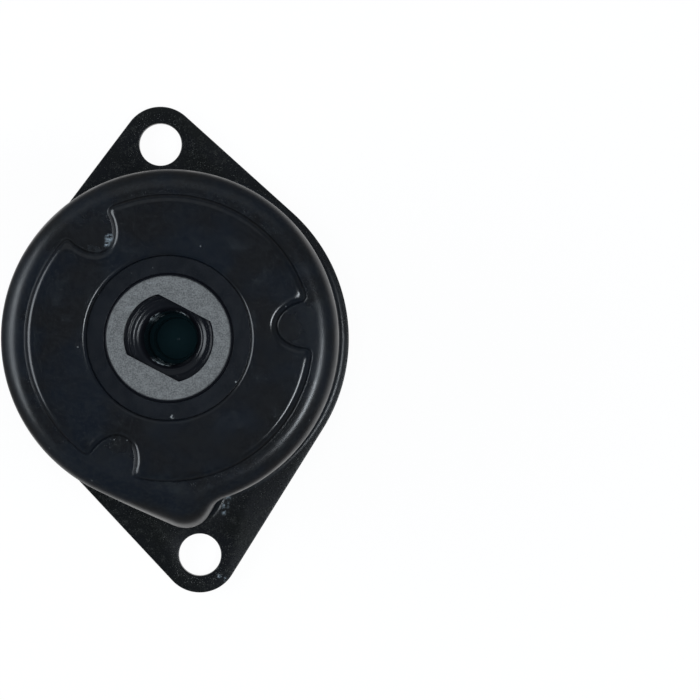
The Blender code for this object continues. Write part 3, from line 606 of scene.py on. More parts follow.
# %% Build the housing
mesh = bmesh.new()
front_foot = foot_rings(FOOT)
back_foot = foot_rings(FOOT + SHEET)
front = loop(mesh, front_foot[0])
crest = grow(mesh, front, *front_foot[1:], *corner_rings(0, CREST, 0))
behind = loop(mesh, back_foot[0])
under = grow(mesh, behind, *back_foot[1:], *corner_rings(SHEET, CREST - SHEET, SHEET))
rim_rings = punched_edge(flange_outline, 0, SHEET)
rim_back = loop(mesh, rim_rings[0])
rim_front = grow(mesh, rim_back, *rim_rings[1:])
hole_backs, hole_fronts = [], []
for side in (1, -1):
    rings = punched_edge(hole_edge(side), 0, SHEET)
    hole_backs.append(loop(mesh, rings[0]))
    hole_fronts.append(grow(mesh, hole_backs[-1], *rings[1:]))
flat(mesh, rim_front, front, *hole_fronts)
flat(mesh, rim_back, behind, *hole_backs)
step_front = step_rings()
top_inset = step_profile()[-1][0] + FIT
step_front.append(at_height(plateau_outline(top_inset), HEIGHT))
step_foot = loop(mesh, at_height(plateau_outline(-STEP_FOOT), CREST))
edge_of_plateau = grow(mesh, step_foot, *step_front)
lip_top = loop(mesh, at_height(circle(OPENING_R + 2 * LIP), HEIGHT))
lip_end = grow(mesh, lip_top, *lip_rings(), at_height(circle(OPENING_R), HEIGHT - SHEET))
flat(mesh, crest, step_foot)
flat(mesh, edge_of_plateau, lip_top)
back_step = loop(mesh, at_height(plateau_outline(POCKET_INSET), CREST - SHEET))
pocket = grow(mesh, back_step, at_height(plateau_outline(POCKET_INSET + POCKET_SLOPE), HEIGHT - SHEET))
flat(mesh, under, back_step)
flat(mesh, pocket, lip_end)
finish_piece("drawn_housing", mesh, black_paint, "housing", "black_paint", "housing")

# %% [markdown]
# ## Camera
#
# The photograph looks almost straight down on the hub, from about 0.7 m, with the part turned a few
# degrees. The turn, the place and the focal length were solved from the flange's two holes, the
# can's outline and the hub's face, so the part lands where it does in the picture.

# %% The camera
PART_TURN = Vector((0.0005, 0.0113, 0.0959))  # radians, from the part's axes to the camera's
PART_SHIFT = Vector((-0.0422259, 0.0000944, -0.7))  # the part's origin, seen from the camera
FOCAL_PIXELS = 2807.8
FRAME_PIXELS = 700

turn = Quaternion(PART_TURN.normalized(), PART_TURN.length).inverted()
lens = bpy.data.cameras.new("camera")
lens.sensor_width = 36.0
lens.lens = FOCAL_PIXELS / FRAME_PIXELS * lens.sensor_width
lens.clip_start = 0.05
camera = bpy.data.objects.new("camera", lens)
camera.location = turn @ -PART_SHIFT
camera.rotation_mode = "QUATERNION"
camera.rotation_quaternion = turn
bpy.context.scene.collection.objects.link(camera)
bpy.context.scene.camera = camera
print("camera at", [round(value, 3) for value in camera.location])
print("lens of", round(lens.lens, 1), "mm")

# %% [markdown]
# ## Black nylon bush
#
# Between the hub and the edge of the opening shows the collar of the front bush: moulded nylon,
# satin, a little below the plateau, with a pale chip near its edge. Its hidden part fills the pocket
# behind the plateau, dents and all, so it is grown from outlines, where a spun ring would be round.

# %% Black nylon
CHIP = Vector((-0.0009, AXIS.y - 0.0182))
CHIP_R = 0.0006
black_nylon, g, shader = new_material("black_nylon", Specular_IOR_Level=0.4)
mottle = g.ramp(g.noise(220.0, detail=3.0), 0.35, 0.7)
nylon = g.mix(mottle, (0.0024, 0.0034, 0.0054, 1), (0.0034, 0.0046, 0.0072, 1))
specks = g.group(dust, Per_Metre=420.0, Size=0.12, Amount=0.12)
chip = g.group(scuff_and_glint, X=CHIP.x, Y=CHIP.y, Size=CHIP_R)
pale = g.math("MAXIMUM", chip, g.math("MULTIPLY", specks, 0.7))
g.put(shader, "Base_Color", g.mix(pale, nylon, (0.4, 0.42, 0.42, 1)))
g.put(shader, "Roughness", g.ramp(g.noise(500.0), 0.3, 0.7, 0.36, 0.46))
g.bump(shader, 0.25, 0.0002, g.group(grain, Per_Metre=2200.0))
print("made", black_nylon.name)


# %% Turned pieces
def softened(profile, size, steps=3):
    """Rounds the corners of a (radius, height) line; its two ends stay."""
    points = [Vector(pair) for pair in profile]
    line = [points[0]]
    for before, corner, after in zip(points, points[1:], points[2:]):
        back, ahead = before - corner, after - corner
        start = corner + back.normalized() * min(size, back.length * 0.45)
        end = corner + ahead.normalized() * min(size, ahead.length * 0.45)
        line += [bent(start, corner, end, i / steps) for i in range(steps + 1)]
    return line + [points[-1]]


def turned(mesh, profile, steps=144, place=CENTRE):
    """A closed line of (radius, height) pairs, spun round the hub axis or round another place."""
    centre = AXIS + place
    corners = [mesh.verts.new(centre + Vector((radius, 0, height))) for radius, height in profile]
    edges = [mesh.edges.new(pair) for pair in zip(corners, corners[1:] + corners[:1])]
    bmesh.ops.spin(
        mesh,
        geom=corners + edges,
        cent=centre,
        axis=(0, 0, 1),
        angle=2 * math.pi,
        steps=steps,
        use_merge=True,
    )


def rounded_edges(mesh, offset, over):
    """Bevels every edge where two faces meet at more than so many degrees."""
    shared = [edge for edge in mesh.edges if len(edge.link_faces) == 2]
    bmesh.ops.bevel(
        mesh,
        geom=[edge for edge in shared if edge.calc_face_angle() > math.radians(over)],
        offset=offset,
        segments=2,
        profile=0.5,
        affect="EDGES",
        clamp_overlap=True,
        material=-1,
    )


print("turning helpers are ready")

# %% The front bush
BUSH_ROUND = 0.0001


def rounded_collar(radius, top, side, steps=4):
    """Circles up and over a rounded edge. The side is 1 for an outer wall and -1 for a bore."""
    rings = []
    for i in range(steps + 1):
        lean = math.radians(90 * i / steps)
        spread = radius - side * BUSH_ROUND * (1 - math.cos(lean))
        rings.append(at_height(circle(spread), top - BUSH_ROUND * (1 - math.sin(lean))))
    return rings + [at_height(circle(radius - side * 2 * BUSH_ROUND), top)]


bush_low, bush_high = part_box("front_bush")
bush_top = HEIGHT - SHEET - FIT
pocket_inset = POCKET_INSET + POCKET_SLOPE + FIT
mesh = bmesh.new()
rim = loop(mesh, at_height(plateau_outline(pocket_inset), bush_low.z))
rim_top = grow(mesh, rim, at_height(plateau_outline(pocket_inset), bush_top))
bore_r, collar_r = HUB_R + GAP, OPENING_R - GAP
collar = loop(mesh, at_height(circle(collar_r), bush_top))
rings = rounded_collar(collar_r, bush_high.z, 1) + rounded_collar(bore_r, bush_high.z, -1)[::-1]
bore = grow(mesh, collar, *rings, at_height(circle(bore_r), bush_low.z))
flat(mesh, rim_top, collar)
flat(mesh, rim, bore)
finish_piece("bush", mesh, black_nylon, "housing", "black_nylon", "front_bush")

# %% [markdown]
# ## Hub
#
# The hub's face is bare machined steel: matt, mid grey, with a fine grain and a few scratches. Its
# chamfer and its socket are painted black, and a few painted highlights sit on the rim of the bore.
# The socket is a round hole with two flats, and below it the hole was turned in steps, which catch
# thin arcs of light. The bore for the bolt goes down from there and stays dark.
#
# One material holds the steel and the paint, because the border between them lies on one face: the
# distance from the axis and the height tell where the paint is.

# %% Sizes of the hub
SOCKET_R = 0.0104
SOCKET_HALF = 0.0079
SOCKET_TURN = -33.1  # degrees, direction of the flats
CHAMFER = 0.00085
CONE_R = 0.0075
SHANK_R = 0.0063
SHANK_DEPTH = 0.03
BOLT_R = 0.0051
BOLT_DEPTH = 0.045
DRILL_POINT = 0.003
BARREL_R = 0.011
JOURNAL_R = 0.0095
GROOVE_R = 0.0086
SEAT_HALF = 0.0097
SEAT_R = 0.0107
CARRIER_HALF = 0.0112
CARRIER_R = 0.0135
SEAT_RISE = 0.0047  # lower end of the carrier's tang to the start of its seat
HEAD_HEIGHT = 0.0064
END_CHAMFER = 0.0006
HUB_SHARP = 25  # degrees, from which an edge of the hub stays sharp
FLOOR_LINE = (  # radius and depth of the socket's turned floor: a ledge, a slope and a ledge
    (HUB_R, 0.0072),
    (0.0097, 0.0072),
    (0.0095, 0.0075),
    (0.0086, 0.0075),
    (0.0077, 0.008),
    (CONE_R, 0.008),
    (0.0069, 0.0084),
    (SHANK_R, 0.0097),
)
TOOL_EDGE = 0.0003  # rounding that the turning tool left


def double_d(radius, half_width, turn_by, steps=40):
    half = math.degrees(math.asin(half_width / radius))
    points = arc(CENTRE, radius, turn_by - half, turn_by + half, steps)
    return points + arc(CENTRE, radius, turn_by + 180 - half, turn_by + 180 + half, steps)


print("socket", round(SOCKET_R * 2000, 1), "mm round,", round(SOCKET_HALF * 2000, 1), "mm flat")

# %% Where the hub is painted black, and its painted highlights
GLINTS_AT = (58.0, 124.0, 235.0, 250.0)  # degrees, painted highlights on the rim of the shank bore
GLINT_R = 0.0021
bare_steel, g, shader = new_material("bare_steel", Specular_IOR_Level=0.4)
radius, height = g.radius_and_height()
# The paint reaches further out in the socket than in the bore below it.
wider = g.ramp(height, HUB_FACE - 0.0125, HUB_FACE - 0.0115, 0.0, SOCKET_R - SHANK_R - 0.0003)
inside = g.math("SUBTRACT", radius, wider)
inside = g.ramp(inside, SHANK_R + 0.0005, SHANK_R + 0.0006, 1.0, 0.0)
uneven = g.math("ADD", height, g.ramp(g.noise(700.0), 0.3, 0.7, -0.0002, 0.0002))
below_face = g.ramp(uneven, HUB_FACE - 0.0012, HUB_FACE - 0.0004, 1.0, 0.0)
bolt_end = HUB_FACE - BOLT_DEPTH
in_bore = g.ramp(height, bolt_end - 0.0007, bolt_end - 0.0005)
in_socket = g.math("MULTIPLY", inside, g.math("MULTIPLY", below_face, in_bore))
outside = g.ramp(radius, HUB_R - 0.0008, HUB_R - 0.0005)
at_head = g.ramp(height, HUB_FACE - 0.004, HUB_FACE - 0.0035)
painted = g.math("MAXIMUM", in_socket, g.math("MULTIPLY", outside, at_head))
# The spots on the rim of the shank bore are painted highlights, standing in for glints of the lamps.
rubbed = 0.0
for angle in GLINTS_AT:
    place = AXIS + polar(SHANK_R, angle)
    rubbed = g.math("MAXIMUM", rubbed, g.group(scuff_and_glint, X=place.x, Y=place.y, Size=GLINT_R))
rim_inside = g.ramp(radius, SHANK_R - 0.00015, SHANK_R - 0.00005)
rim_outside = g.ramp(radius, SHANK_R + 0.0002, SHANK_R + 0.0004, 1.0, 0.0)
rim_glint = g.math("MULTIPLY", rubbed, g.math("MULTIPLY", rim_inside, rim_outside))
print("the bore's rim is rubbed at", len(GLINTS_AT), "spots")

# %% Bare machined steel
tone = g.ramp(g.group(grain, Per_Metre=3000.0, Coarse_Share=0.3), 0.34, 0.66)
steel = g.mix(tone, (0.095, 0.097, 0.097, 1), (0.21, 0.213, 0.211, 1))
scratch = g.noise(1.0, g.scale_along((300.0, 2600.0, 300.0), 0.6), detail=3.0)
scratch = g.math("MULTIPLY", g.ramp(scratch, 0.62, 0.74), 0.5)
scratched = g.mix(scratch, steel, (0.3, 0.31, 0.32, 1))
shank_end = HUB_FACE - SHANK_DEPTH
above_end = g.ramp(height, shank_end - 0.001, shank_end + 0.002)
socket_black = g.mix(above_end, (0.008, 0.02, 0.024, 1), (0.006, 0.0066, 0.009, 1))
coat = g.mix(painted, scratched, socket_black)
# The pale colour on the bore's rim is a painted highlight.
g.put(shader, "Base_Color", g.mix(rim_glint, coat, (0.5, 0.56, 0.58, 1)))
g.put(shader, "Roughness", g.between(painted, g.ramp(tone, 0.0, 1.0, 0.62, 0.48), 0.22))
g.put(shader, "Metallic", g.ramp(painted, 0.0, 1.0, 0.35, 0.0))
fine = g.math("MULTIPLY", g.group(grain, Per_Metre=4000.0), g.ramp(painted, 0.0, 1.0, 1.0, 0.3))
g.bump(shader, 0.35, 0.0001, fine)
print("made", bare_steel.name)

# %% [markdown]
# The hub is turned on a lathe and has flats milled on it for the carrier and the stop plate. Circles
# and outlines with flats don't spin into each other, so the blank is grown from the journal up, level
# by level, with a flat shoulder wherever its outline changes.

# %% The hub's outside
carrier_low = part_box("spring_carrier")[0]
plate_low, plate_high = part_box("stop_plate")
ring_low, ring_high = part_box("retaining_ring")
seal_low, seal_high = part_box("hub_seal")
seat_start = carrier_low.z + SEAT_RISE
head = HUB_FACE - HEAD_HEIGHT
mesh = bmesh.new()
end = loop(mesh, at_height(circle(JOURNAL_R - END_CHAMFER), HUB_END))
flat(mesh, end)
levels = [
    (JOURNAL_R, HUB_END + END_CHAMFER),
    (JOURNAL_R, ring_low.z - FIT),
    (GROOVE_R, ring_low.z - FIT),
    (GROOVE_R, ring_high.z + FIT),
    (JOURNAL_R, ring_high.z + FIT),
    (JOURNAL_R, plate_low.z - FIT / 2),
]
journal = grow(mesh, end, *[at_height(circle(radius), level) for radius, level in levels])
seat = loop(mesh, at_height(double_d(SEAT_R, SEAT_HALF, 0), plate_low.z - FIT / 2))
flat(mesh, journal, seat)
seat_top = grow(mesh, seat, at_height(double_d(SEAT_R, SEAT_HALF, 0), plate_high.z + FIT))
barrel = loop(mesh, at_height(circle(BARREL_R), plate_high.z + FIT))
flat(mesh, seat_top, barrel)
barrel_top = grow(mesh, barrel, at_height(circle(BARREL_R), seat_start))
carrier_seat = loop(mesh, at_height(double_d(CARRIER_R, CARRIER_HALF, 0), seat_start))
flat(mesh, barrel_top, carrier_seat)
carrier_seat_top = grow(mesh, carrier_seat, at_height(double_d(CARRIER_R, CARRIER_HALF, 0), head))
under_head = loop(mesh, at_height(circle(HUB_R), head))
flat(mesh, carrier_seat_top, under_head)
groove_r = HUB_R - (seal_high.z - seal_low.z) - FIT
levels = [
    (HUB_R, seal_low.z - FIT),
    (groove_r, seal_low.z - FIT),
    (groove_r, seal_high.z + FIT),
    (HUB_R, seal_high.z + FIT),
    (HUB_R, HUB_FACE - CHAMFER),
    (HUB_R - CHAMFER, HUB_FACE),
    (HUB_R - 1.2 * CHAMFER, HUB_FACE),
]
face_edge = grow(mesh, under_head, *[at_height(circle(radius), level) for radius, level in levels])
flat(mesh, face_edge)
hub = finish_piece("turned_hub", mesh, bare_steel, "hub", "bare_steel", "hub", sharp=HUB_SHARP)


# %% [markdown]
# The socket is cut out of that blank, as in the workshop, which leaves clean edges where the steps
# meet the flats. Two tools meet in one cutter: a prism with the outline of the socket, and a turned
# body whose end has the steps and the bore. What both of them fill is cut away.

# %% Tools for cutting
def tool(name, mesh):
    bmesh.ops.recalc_face_normals(mesh, faces=mesh.faces)
    data = bpy.data.meshes.new(name)
    mesh.to_mesh(data)
    mesh.free()
    made = bpy.data.objects.new(name, data)
    bpy.context.scene.collection.objects.link(made)
    return made


def boolean(target, other, operation):
    """Applies a Boolean to the target's own mesh and removes the other object."""
    modifier = target.modifiers.new(other.name, "BOOLEAN")
    modifier.operation = operation
    modifier.object = other
    modifier.solver = "EXACT"
    evaluated = target.evaluated_get(bpy.context.evaluated_depsgraph_get())
    result = bpy.data.meshes.new_from_object(evaluated)
    target.modifiers.clear()
    target.data = result
    bpy.data.objects.remove(other)


print("cutting tools are ready")

# %% Cut the socket
ABOVE = 0.002  # how far the tools stand out of the face
mesh = bmesh.new()
top = loop(mesh, at_height(double_d(SOCKET_R, SOCKET_HALF, SOCKET_TURN), HUB_FACE + ABOVE))
flat(mesh, top)
flat(mesh, grow(mesh, top, at_height(double_d(SOCKET_R, SOCKET_HALF, SOCKET_TURN), HUB_END + FIT)))
prism = tool("socket outline", mesh)

bore_line = [
    *FLOOR_LINE,
    (SHANK_R, SHANK_DEPTH),
    (BOLT_R, SHANK_DEPTH + SHANK_R - BOLT_R),
    (BOLT_R, BOLT_DEPTH - DRILL_POINT),
    (FIT, BOLT_DEPTH),
]
mesh = bmesh.new()
top = loop(mesh, at_height(circle(HUB_R), HUB_FACE + ABOVE))
flat(mesh, top)
bore_line = softened(bore_line, TOOL_EDGE)
flat(mesh, grow(mesh, top, *[at_height(circle(spot.x), HUB_FACE - spot.y) for spot in bore_line]))
cutter = tool("socket cutter", mesh)
boolean(cutter, prism, "INTERSECT")
boolean(hub, cutter, "DIFFERENCE")
hub.data.shade_smooth()
hub.data.set_sharp_from_angle(angle=math.radians(HUB_SHARP))
print("hub has", len(hub.data.polygons), "faces")

# %% [markdown]
# ## Finishes of the pieces inside and behind
#
# The torsion spring is oiled dark spring steel with lines along the wire. The cover, the washers and
# the carrier are zinc plated, pale and a little cloudy. The seat and the damping ring are a pale
# wear-resistant nylon, and the seal is black rubber.

# %% Spring steel
spring_steel, g, shader = new_material("spring_steel", Metallic=0.9)
cloud = g.ramp(g.noise(160.0, detail=3.0), 0.35, 0.7)
g.put(shader, "Base_Color", g.mix(cloud, (0.075, 0.078, 0.085, 1), (0.13, 0.125, 0.12, 1)))
drawn_lines = g.noise(1.0, g.scale_along((120.0, 120.0, 5200.0)))
g.put(shader, "Roughness", g.ramp(drawn_lines, 0.3, 0.7, 0.28, 0.45))
g.bump(shader, 0.3, 0.0001, drawn_lines)
print("made", spring_steel.name)

# %% Plated steel
plated_steel, g, shader = new_material("plated_steel", Metallic=0.95)
cloud = g.ramp(g.noise(110.0, detail=4.0), 0.3, 0.7)
g.put(shader, "Base_Color", g.mix(cloud, (0.42, 0.43, 0.43, 1), (0.58, 0.58, 0.55, 1)))
frost = g.group(grain, Per_Metre=2200.0, Coarse_Share=0.4)
g.put(shader, "Roughness", g.ramp(g.math("MULTIPLY", cloud, frost), 0.1, 0.5, 0.42, 0.28))
g.bump(shader, 0.25, 0.0001, frost)
print("made", plated_steel.name)

# %% Pale nylon
pale_nylon, g, shader = new_material("pale_nylon", Specular_IOR_Level=0.45)
flow = g.ramp(g.noise(90.0, detail=3.0), 0.35, 0.65)
g.put(shader, "Base_Color", g.mix(flow, (0.52, 0.49, 0.4, 1), (0.6, 0.57, 0.48, 1)))
g.put(shader, "Roughness", g.ramp(g.noise(600.0), 0.3, 0.7, 0.38, 0.52))
g.bump(shader, 0.2, 0.0002, g.group(grain, Per_Metre=1800.0))
print("made", pale_nylon.name)

# %% Rubber
rubber, g, shader = new_material("rubber", Specular_IOR_Level=0.35)
bloom = g.ramp(g.noise(300.0, detail=3.0), 0.4, 0.75)
g.put(shader, "Base_Color", g.mix(bloom, (0.006, 0.006, 0.0065, 1), (0.014, 0.014, 0.015, 1)))
g.put(shader, "Roughness", g.ramp(bloom, 0.0, 1.0, 0.45, 0.62))
g.bump(shader, 0.2, 0.0001, g.group(grain, Per_Metre=3500.0))
print("made", rubber.name)

# %% [markdown]
# ## Torsion spring
#
# Flat wire is swept down a straight leg, whose end sits in the bulge, and round the coil up to the
# carrier. A curve with a bevel would make a coil too, but its section may tip over, while a ring of
# points that is set upright at each step keeps the wire flat.

# %% Sizes and section of the wire
TURNS = 4.4
STEPS_A_TURN = 60
LEG_PARTS = (1, 0.75, 0.5, 0.25)  # where the leg has a section, from its end to the coil
COIL_R = 0.0305
COIL_GAP = 0.00077  # between two turns
WIRE_WIDTH = 0.006
WIRE_EDGE = 0.0008
spring_low, spring_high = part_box("torsion_spring")
wire_height = (spring_high.z - spring_low.z - TURNS * COIL_GAP) / (TURNS + 1)
pitch = wire_height + COIL_GAP
leg_out, leg_along = polar(1, BULGE_START), polar(1, BULGE_START + 90)
outer_start = (COIL_R + WIRE_WIDTH / 2) * leg_out
leg = (spring_low.y - AXIS.y - outer_start.y) / leg_along.y


def wire_section(steps=3):
    """(across, up) pairs of a flat wire with round edges."""
    points = []
    for side, up, start in ((1, -1, 270), (1, 1, 0), (-1, 1, 90), (-1, -1, 180)):
        middle = Vector((side * (WIRE_WIDTH / 2 - WIRE_EDGE), up * (wire_height / 2 - WIRE_EDGE), 0))
        points += arc(middle, WIRE_EDGE, start, start + 90, steps)
    return [(point.x, point.y) for point in points]


def wire_ring(centre, out, height):
    return [AXIS + centre + across * out + Vector((0, 0, height + up)) for across, up in wire_section()]


print("wire of", round(WIRE_WIDTH * 1000, 1), "by", round(wire_height * 1000, 2), "mm")

# %% Sweep the wire
base = spring_low.z + wire_height / 2
rings = []
for part in LEG_PARTS:
    rings.append(wire_ring(COIL_R * leg_out + leg * part * leg_along, leg_out, base))
coil_steps = round(TURNS * STEPS_A_TURN)
for i in range(coil_steps + 1):
    turned_by = TURNS * i / coil_steps
    out = polar(1, BULGE_START - 360 * turned_by)
    rings.append(wire_ring(COIL_R * out, out, base + pitch * turned_by))
mesh = bmesh.new()
wire_start = loop(mesh, rings[0])
wire_end = grow(mesh, wire_start, *rings[1:])
flat(mesh, wire_start)
flat(mesh, wire_end)
spring = finish_piece("wound_spring", mesh, spring_steel, None, "spring_steel", "torsion_spring")
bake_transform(spring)

# %% [markdown]
# ## The closure behind
#
# The back is open to view: a plated cover fills the can, a nylon bush stands in its collar, and a
# washer and a retaining ring hold the hub's journal. The pin that stops the hub is riveted through
# the cover. Every edge is broken, and the cover's collar has the round lead of a drawn hole.
#
# What is round is spun from a half section, which is how a lathe makes it. The cover and the ring
# aren't round, so they are grown from their outlines, and the flats between loops are filled.

# %% The rear cover
cover_low, cover_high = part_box("rear_cover")
pin_low, pin_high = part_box("stop_pin")
COVER_T = 0.0022
COVER_BORE = 0.0118
COLLAR_R = 0.014
COLLAR_LEAD = 0.001
PIN_HOLE_R = 0.0025
pin_place = (pin_low + pin_high) / 2 - AXIS
pin_place.z = 0
plate_top = cover_low.z + COVER_T


def cover_outline(inset):
    return [point - (SHEET + FIT + inset) * normal for point, normal in CAN]


mesh = bmesh.new()
rings = punched_edge(cover_outline, cover_low.z, plate_top)
cover_back = loop(mesh, rings[0])
cover_front = grow(mesh, cover_back, *rings[1:])
rings = punched_edge(lambda inset: circle(PIN_HOLE_R + inset, 36, pin_place), cover_low.z, plate_top)
pin_hole_back = loop(mesh, rings[0])
pin_hole_front = grow(mesh, pin_hole_back, *rings[1:])
collar_line = [
    (COLLAR_R + 2 * COLLAR_LEAD, plate_top),
    (COLLAR_R, plate_top),
    (COLLAR_R, cover_high.z),
    (COVER_BORE, cover_high.z),
    (COVER_BORE, cover_low.z),
    (COVER_BORE + 2 * COLLAR_LEAD, cover_low.z),
]
collar_line = softened(collar_line, COLLAR_LEAD / 2)
collar_rings = [at_height(circle(spot.x), spot.y) for spot in collar_line]
collar_foot = loop(mesh, collar_rings[0])
collar_back = grow(mesh, collar_foot, *collar_rings[1:])
flat(mesh, cover_front, pin_hole_front, collar_foot)
flat(mesh, cover_back, pin_hole_back, collar_back)
finish_piece("cover", mesh, plated_steel, "housing", "plated_steel", "rear_cover")

# %% Rear bush and thrust washer
EDGE_BREAK = 0.0003
FLANGE_T = 0.0015
SLEEVE_R = 0.0115


def closed_line(corners, size):
    """A closed profile with all its corners softened."""
    return softened(corners + corners[:2], size)[1:-1]


rear_low, rear_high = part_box("rear_bush")
bore_r, rim_r = JOURNAL_R + FIT, rear_high.x
corners = [
    (bore_r, rear_low.z),
    (rim_r, rear_low.z),
    (rim_r, rear_low.z + FLANGE_T),
    (SLEEVE_R, rear_low.z + FLANGE_T),
    (SLEEVE_R, rear_high.z),
    (bore_r, rear_high.z),
]
mesh = bmesh.new()
turned(mesh, closed_line(corners, EDGE_BREAK))
finish_piece("sleeve", mesh, black_nylon, "housing", "black_nylon", "rear_bush")

washer_low, washer_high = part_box("thrust_washer")
rim_r = washer_high.x
corners = [
    (bore_r, washer_low.z),
    (rim_r, washer_low.z),
    (rim_r, washer_high.z),
    (bore_r, washer_high.z),
]
mesh = bmesh.new()
turned(mesh, closed_line(corners, EDGE_BREAK / 2))
finish_piece("washer", mesh, plated_steel, "hub", "plated_steel", "thrust_washer")

# %% Retaining ring
RING_GAP = 15.0  # degrees each side
RING_BAND = 0.0026
RING_TAPER = 0.0007
RING_LUG = 0.0042
LUG_ANGLE = 17.0
EYE_R = 0.0008
EYE_OUT = 0.0024  # ring's inner edge to the middle of an eye
RING_BREAK = 0.0001
RING_STEPS = 96
ring_inner = GROOVE_R + FIT
inner = arc(CENTRE, ring_inner, RING_GAP, 360 - RING_GAP, RING_STEPS)
outer = []
for i in range(RING_STEPS + 1):
    angle = 360 - RING_GAP - (360 - 2 * RING_GAP) * i / RING_STEPS
    in_lug = min(angle, 360 - angle) - RING_GAP < LUG_ANGLE
    band = RING_BAND - RING_TAPER * math.cos(math.radians(angle))
    outer.append(polar(ring_inner + (RING_LUG if in_lug else band), angle))
mesh = bmesh.new()
ring_back = loop(mesh, at_height(inner + outer, ring_low.z))
ring_front = grow(mesh, ring_back, at_height(inner + outer, ring_high.z))
eye_backs, eye_fronts = [], []
for side in (1, -1):
    eye = polar(ring_inner + EYE_OUT, side * (RING_GAP + LUG_ANGLE / 2))
    eye_backs.append(loop(mesh, at_height(circle(EYE_R, 24, eye), ring_low.z)))
    eye_fronts.append(grow(mesh, eye_backs[-1], at_height(circle(EYE_R, 24, eye), ring_high.z)))
flat(mesh, ring_back, *eye_backs)
flat(mesh, ring_front, *eye_fronts)
bmesh.ops.recalc_face_normals(mesh, faces=mesh.faces)
rounded_edges(mesh, RING_BREAK, over=50)
finish_piece("ring", mesh, spring_steel, "hub", "spring_steel", "retaining_ring")

# %% Stop pin
PIN_R = 0.0022
PIN_HEAD_R = 0.0034
PIN_HEAD_T = 0.0013
PIN_FLAT = 0.7  # share of the riveted head's radius that is flat
head_top = cover_low.z - FIT
collar_low = plate_top + FIT
corners = [
    (0.0, pin_low.z),
    (PIN_HEAD_R * PIN_FLAT, pin_low.z),
    (PIN_HEAD_R, (pin_low.z + head_top) / 2),
    (PIN_HEAD_R, head_top),
    (PIN_R, head_top),
    (PIN_R, collar_low),
    (PIN_HEAD_R, collar_low),
    (PIN_HEAD_R, collar_low + PIN_HEAD_T),
    (PIN_R, collar_low + PIN_HEAD_T),
    (PIN_R, pin_high.z - EDGE_BREAK),
    (PIN_R - EDGE_BREAK, pin_high.z),
    (0.0, pin_high.z),
]
mesh = bmesh.new()
turned(mesh, softened(corners, EDGE_BREAK), 48, pin_place)
finish_piece("riveted_pin", mesh, bare_steel, "housing", "bare_steel", "stop_pin")

# %% [markdown]
# ## Finishes on the solids that stay
#
# The pieces that only show when the unit is open are simple pressed or moulded discs. Their solids
# are shown as they are, and only get a finish, which is the same as on the pieces that touch them.

# %% Give the other solids their finish
STAYING = {
    "spring_seat": pale_nylon,
    "damping_ring": pale_nylon,
    "spring_carrier": plated_steel,
    "stop_plate": plated_steel,
    "hub_seal": rubber,
}
for name, material in STAYING.items():
    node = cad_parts[name]
    node.data.materials.clear()
    node.data.materials.append(material)
print("finished", ", ".join(STAYING))

# %% [markdown]
# ## Floor, lamps and background
#
# The picture has a plain white ground. A white card lies under the part, on a darker bench. The
# card is white for the camera and for reflections, and a share of its colour still comes from the
# lamps, so the part keeps its soft shadow. It is no larger than the picture needs, which keeps the
# pale rims of the glossy wall thin. The bench beyond it is white only for the camera.

# %% The floor
CARD_MIDDLE = (0.043, 0.0, 0.0)
CARD_HALF = (0.094, 0.068, 3.0)  # from its middle to where the white card starts to end
CARD_FADE = 0.03
BENCH = (0.12, 0.12, 0.12, 1)
OWN_LIGHT = 0.93  # share of the card's white that doesn't come from the lamps
FLOOR_HALF = 3.0
FLOOR_DROP = 0.00002  # below the flange's back
floor_paint = bpy.data.materials.new("white_floor")
floor_paint.use_nodes = True
g = Graph(floor_paint.node_tree)
floor_paint.node_tree.nodes.clear()
path = g.add("ShaderNodeLightPath").outputs
mirrored = g.math("MAXIMUM", path["Is Glossy Ray"], path["Is Transmission Ray"])
seen = g.math("MAXIMUM", path["Is Camera Ray"], mirrored)
offset = g.vector_math("ABSOLUTE", g.vector_math("SUBTRACT", g.place(), CARD_MIDDLE))
beyond = g.vector_math("MAXIMUM", g.vector_math("SUBTRACT", offset, CARD_HALF))
beyond = g.vector_math("LENGTH", beyond, output="Value")
on_card = g.ramp(beyond, 0.0, CARD_FADE, 1.0, 0.0)
white = g.mix(g.math("MAXIMUM", path["Is Camera Ray"], on_card), BENCH, (1, 1, 1, 1))
print("card of", CARD_HALF[0] * 2, "by", CARD_HALF[1] * 2, "m")

# %% Light of its own for the floor
matt = g.add("ShaderNodeBsdfDiffuse", None, Color=white)
glow = g.add("ShaderNodeEmission", None, Color=white, Strength=1.0)
both = g.add("ShaderNodeMixShader")
g.put(both, "i0", g.math("MULTIPLY", seen, OWN_LIGHT))
floor_paint.node_tree.links.new(matt.outputs[0], both.inputs[1])
floor_paint.node_tree.links.new(glow.outputs[0], both.inputs[2])
end = g.add("ShaderNodeOutputMaterial")
floor_paint.node_tree.links.new(both.outputs[0], end.inputs[0])

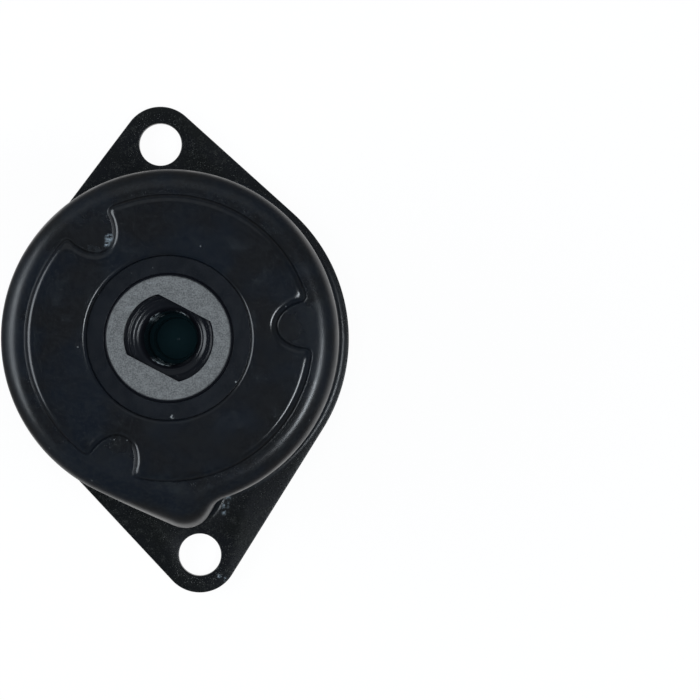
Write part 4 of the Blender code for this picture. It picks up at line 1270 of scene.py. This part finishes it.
mesh = bmesh.new()
bmesh.ops.create_grid(mesh, x_segments=1, y_segments=1, size=FLOOR_HALF)
bmesh.ops.translate(mesh, verts=mesh.verts, vec=(0, 0, housing_low.z - FLOOR_DROP))
data = bpy.data.meshes.new("floor")
mesh.to_mesh(data)
mesh.free()
data.materials.append(floor_paint)
ground = bpy.data.objects.new("floor", data)
bpy.context.scene.collection.objects.link(ground)
print("floor of", FLOOR_HALF * 2, "m")

# %% The world
world = bpy.data.worlds.new("studio")
bpy.context.scene.world = world
world.use_nodes = True
g = Graph(world.node_tree)
world.node_tree.nodes.clear()
looking = g.add("ShaderNodeTexCoord").outputs["Generated"]
up = g.add("ShaderNodeSeparateXYZ", None, Vector=looking).outputs["Z"]
dim = g.ramp(up, 0.0, 0.7, 0.15, 0.085)
sky = g.add("ShaderNodeBackground", None, Color=(0.8, 1.0, 1.25, 1), Strength=dim)
end = g.add("ShaderNodeOutputWorld")
world.node_tree.links.new(sky.outputs[0], end.inputs[0])
print("a dim room, a little lighter near the horizon")


# %% Lamps
COOL = (0.93, 1.0, 1.06)  # daylight, a little blue


def lamp(name, azimuth, elevation, size, radiance, in_gloss=True):
    """An elliptic softbox a metre away, aimed at the part. Its watts follow from its radiance."""
    light = bpy.data.lights.new(name, "AREA")
    light.shape = "ELLIPSE"
    light.size, light.size_y = size
    light.energy = radiance * math.pi * (math.pi / 4 * size[0] * size[1])
    light.color = COOL
    made = bpy.data.objects.new(name, light)
    towards = polar(math.cos(math.radians(elevation)), azimuth, math.sin(math.radians(elevation)))
    made.location = AXIS + Vector((0, 0, HEIGHT)) + towards
    made.rotation_mode = "QUATERNION"
    made.rotation_quaternion = towards.to_track_quat("Z", "Y")
    made.visible_glossy = in_gloss
    bpy.context.scene.collection.objects.link(made)


lamp("left softbox", 171.5, 27, (1.02, 0.42), 4.9)
lamp("right softbox", -25, 57, (0.46, 0.15), 18.0)
lamp("upper bounce", 90, 45, (1.5, 0.75), 0.25)
lamp("overhead fill", 0, 90, (0.3, 0.3), 24.0, in_gloss=False)
print("three softboxes and a fill that the gloss doesn't show")

# %% [markdown]
# ## View transform
#
# The view transform is set to Standard, so a colour renders as it is written.

# %% Finish
bpy.context.scene.view_settings.view_transform = "Standard"
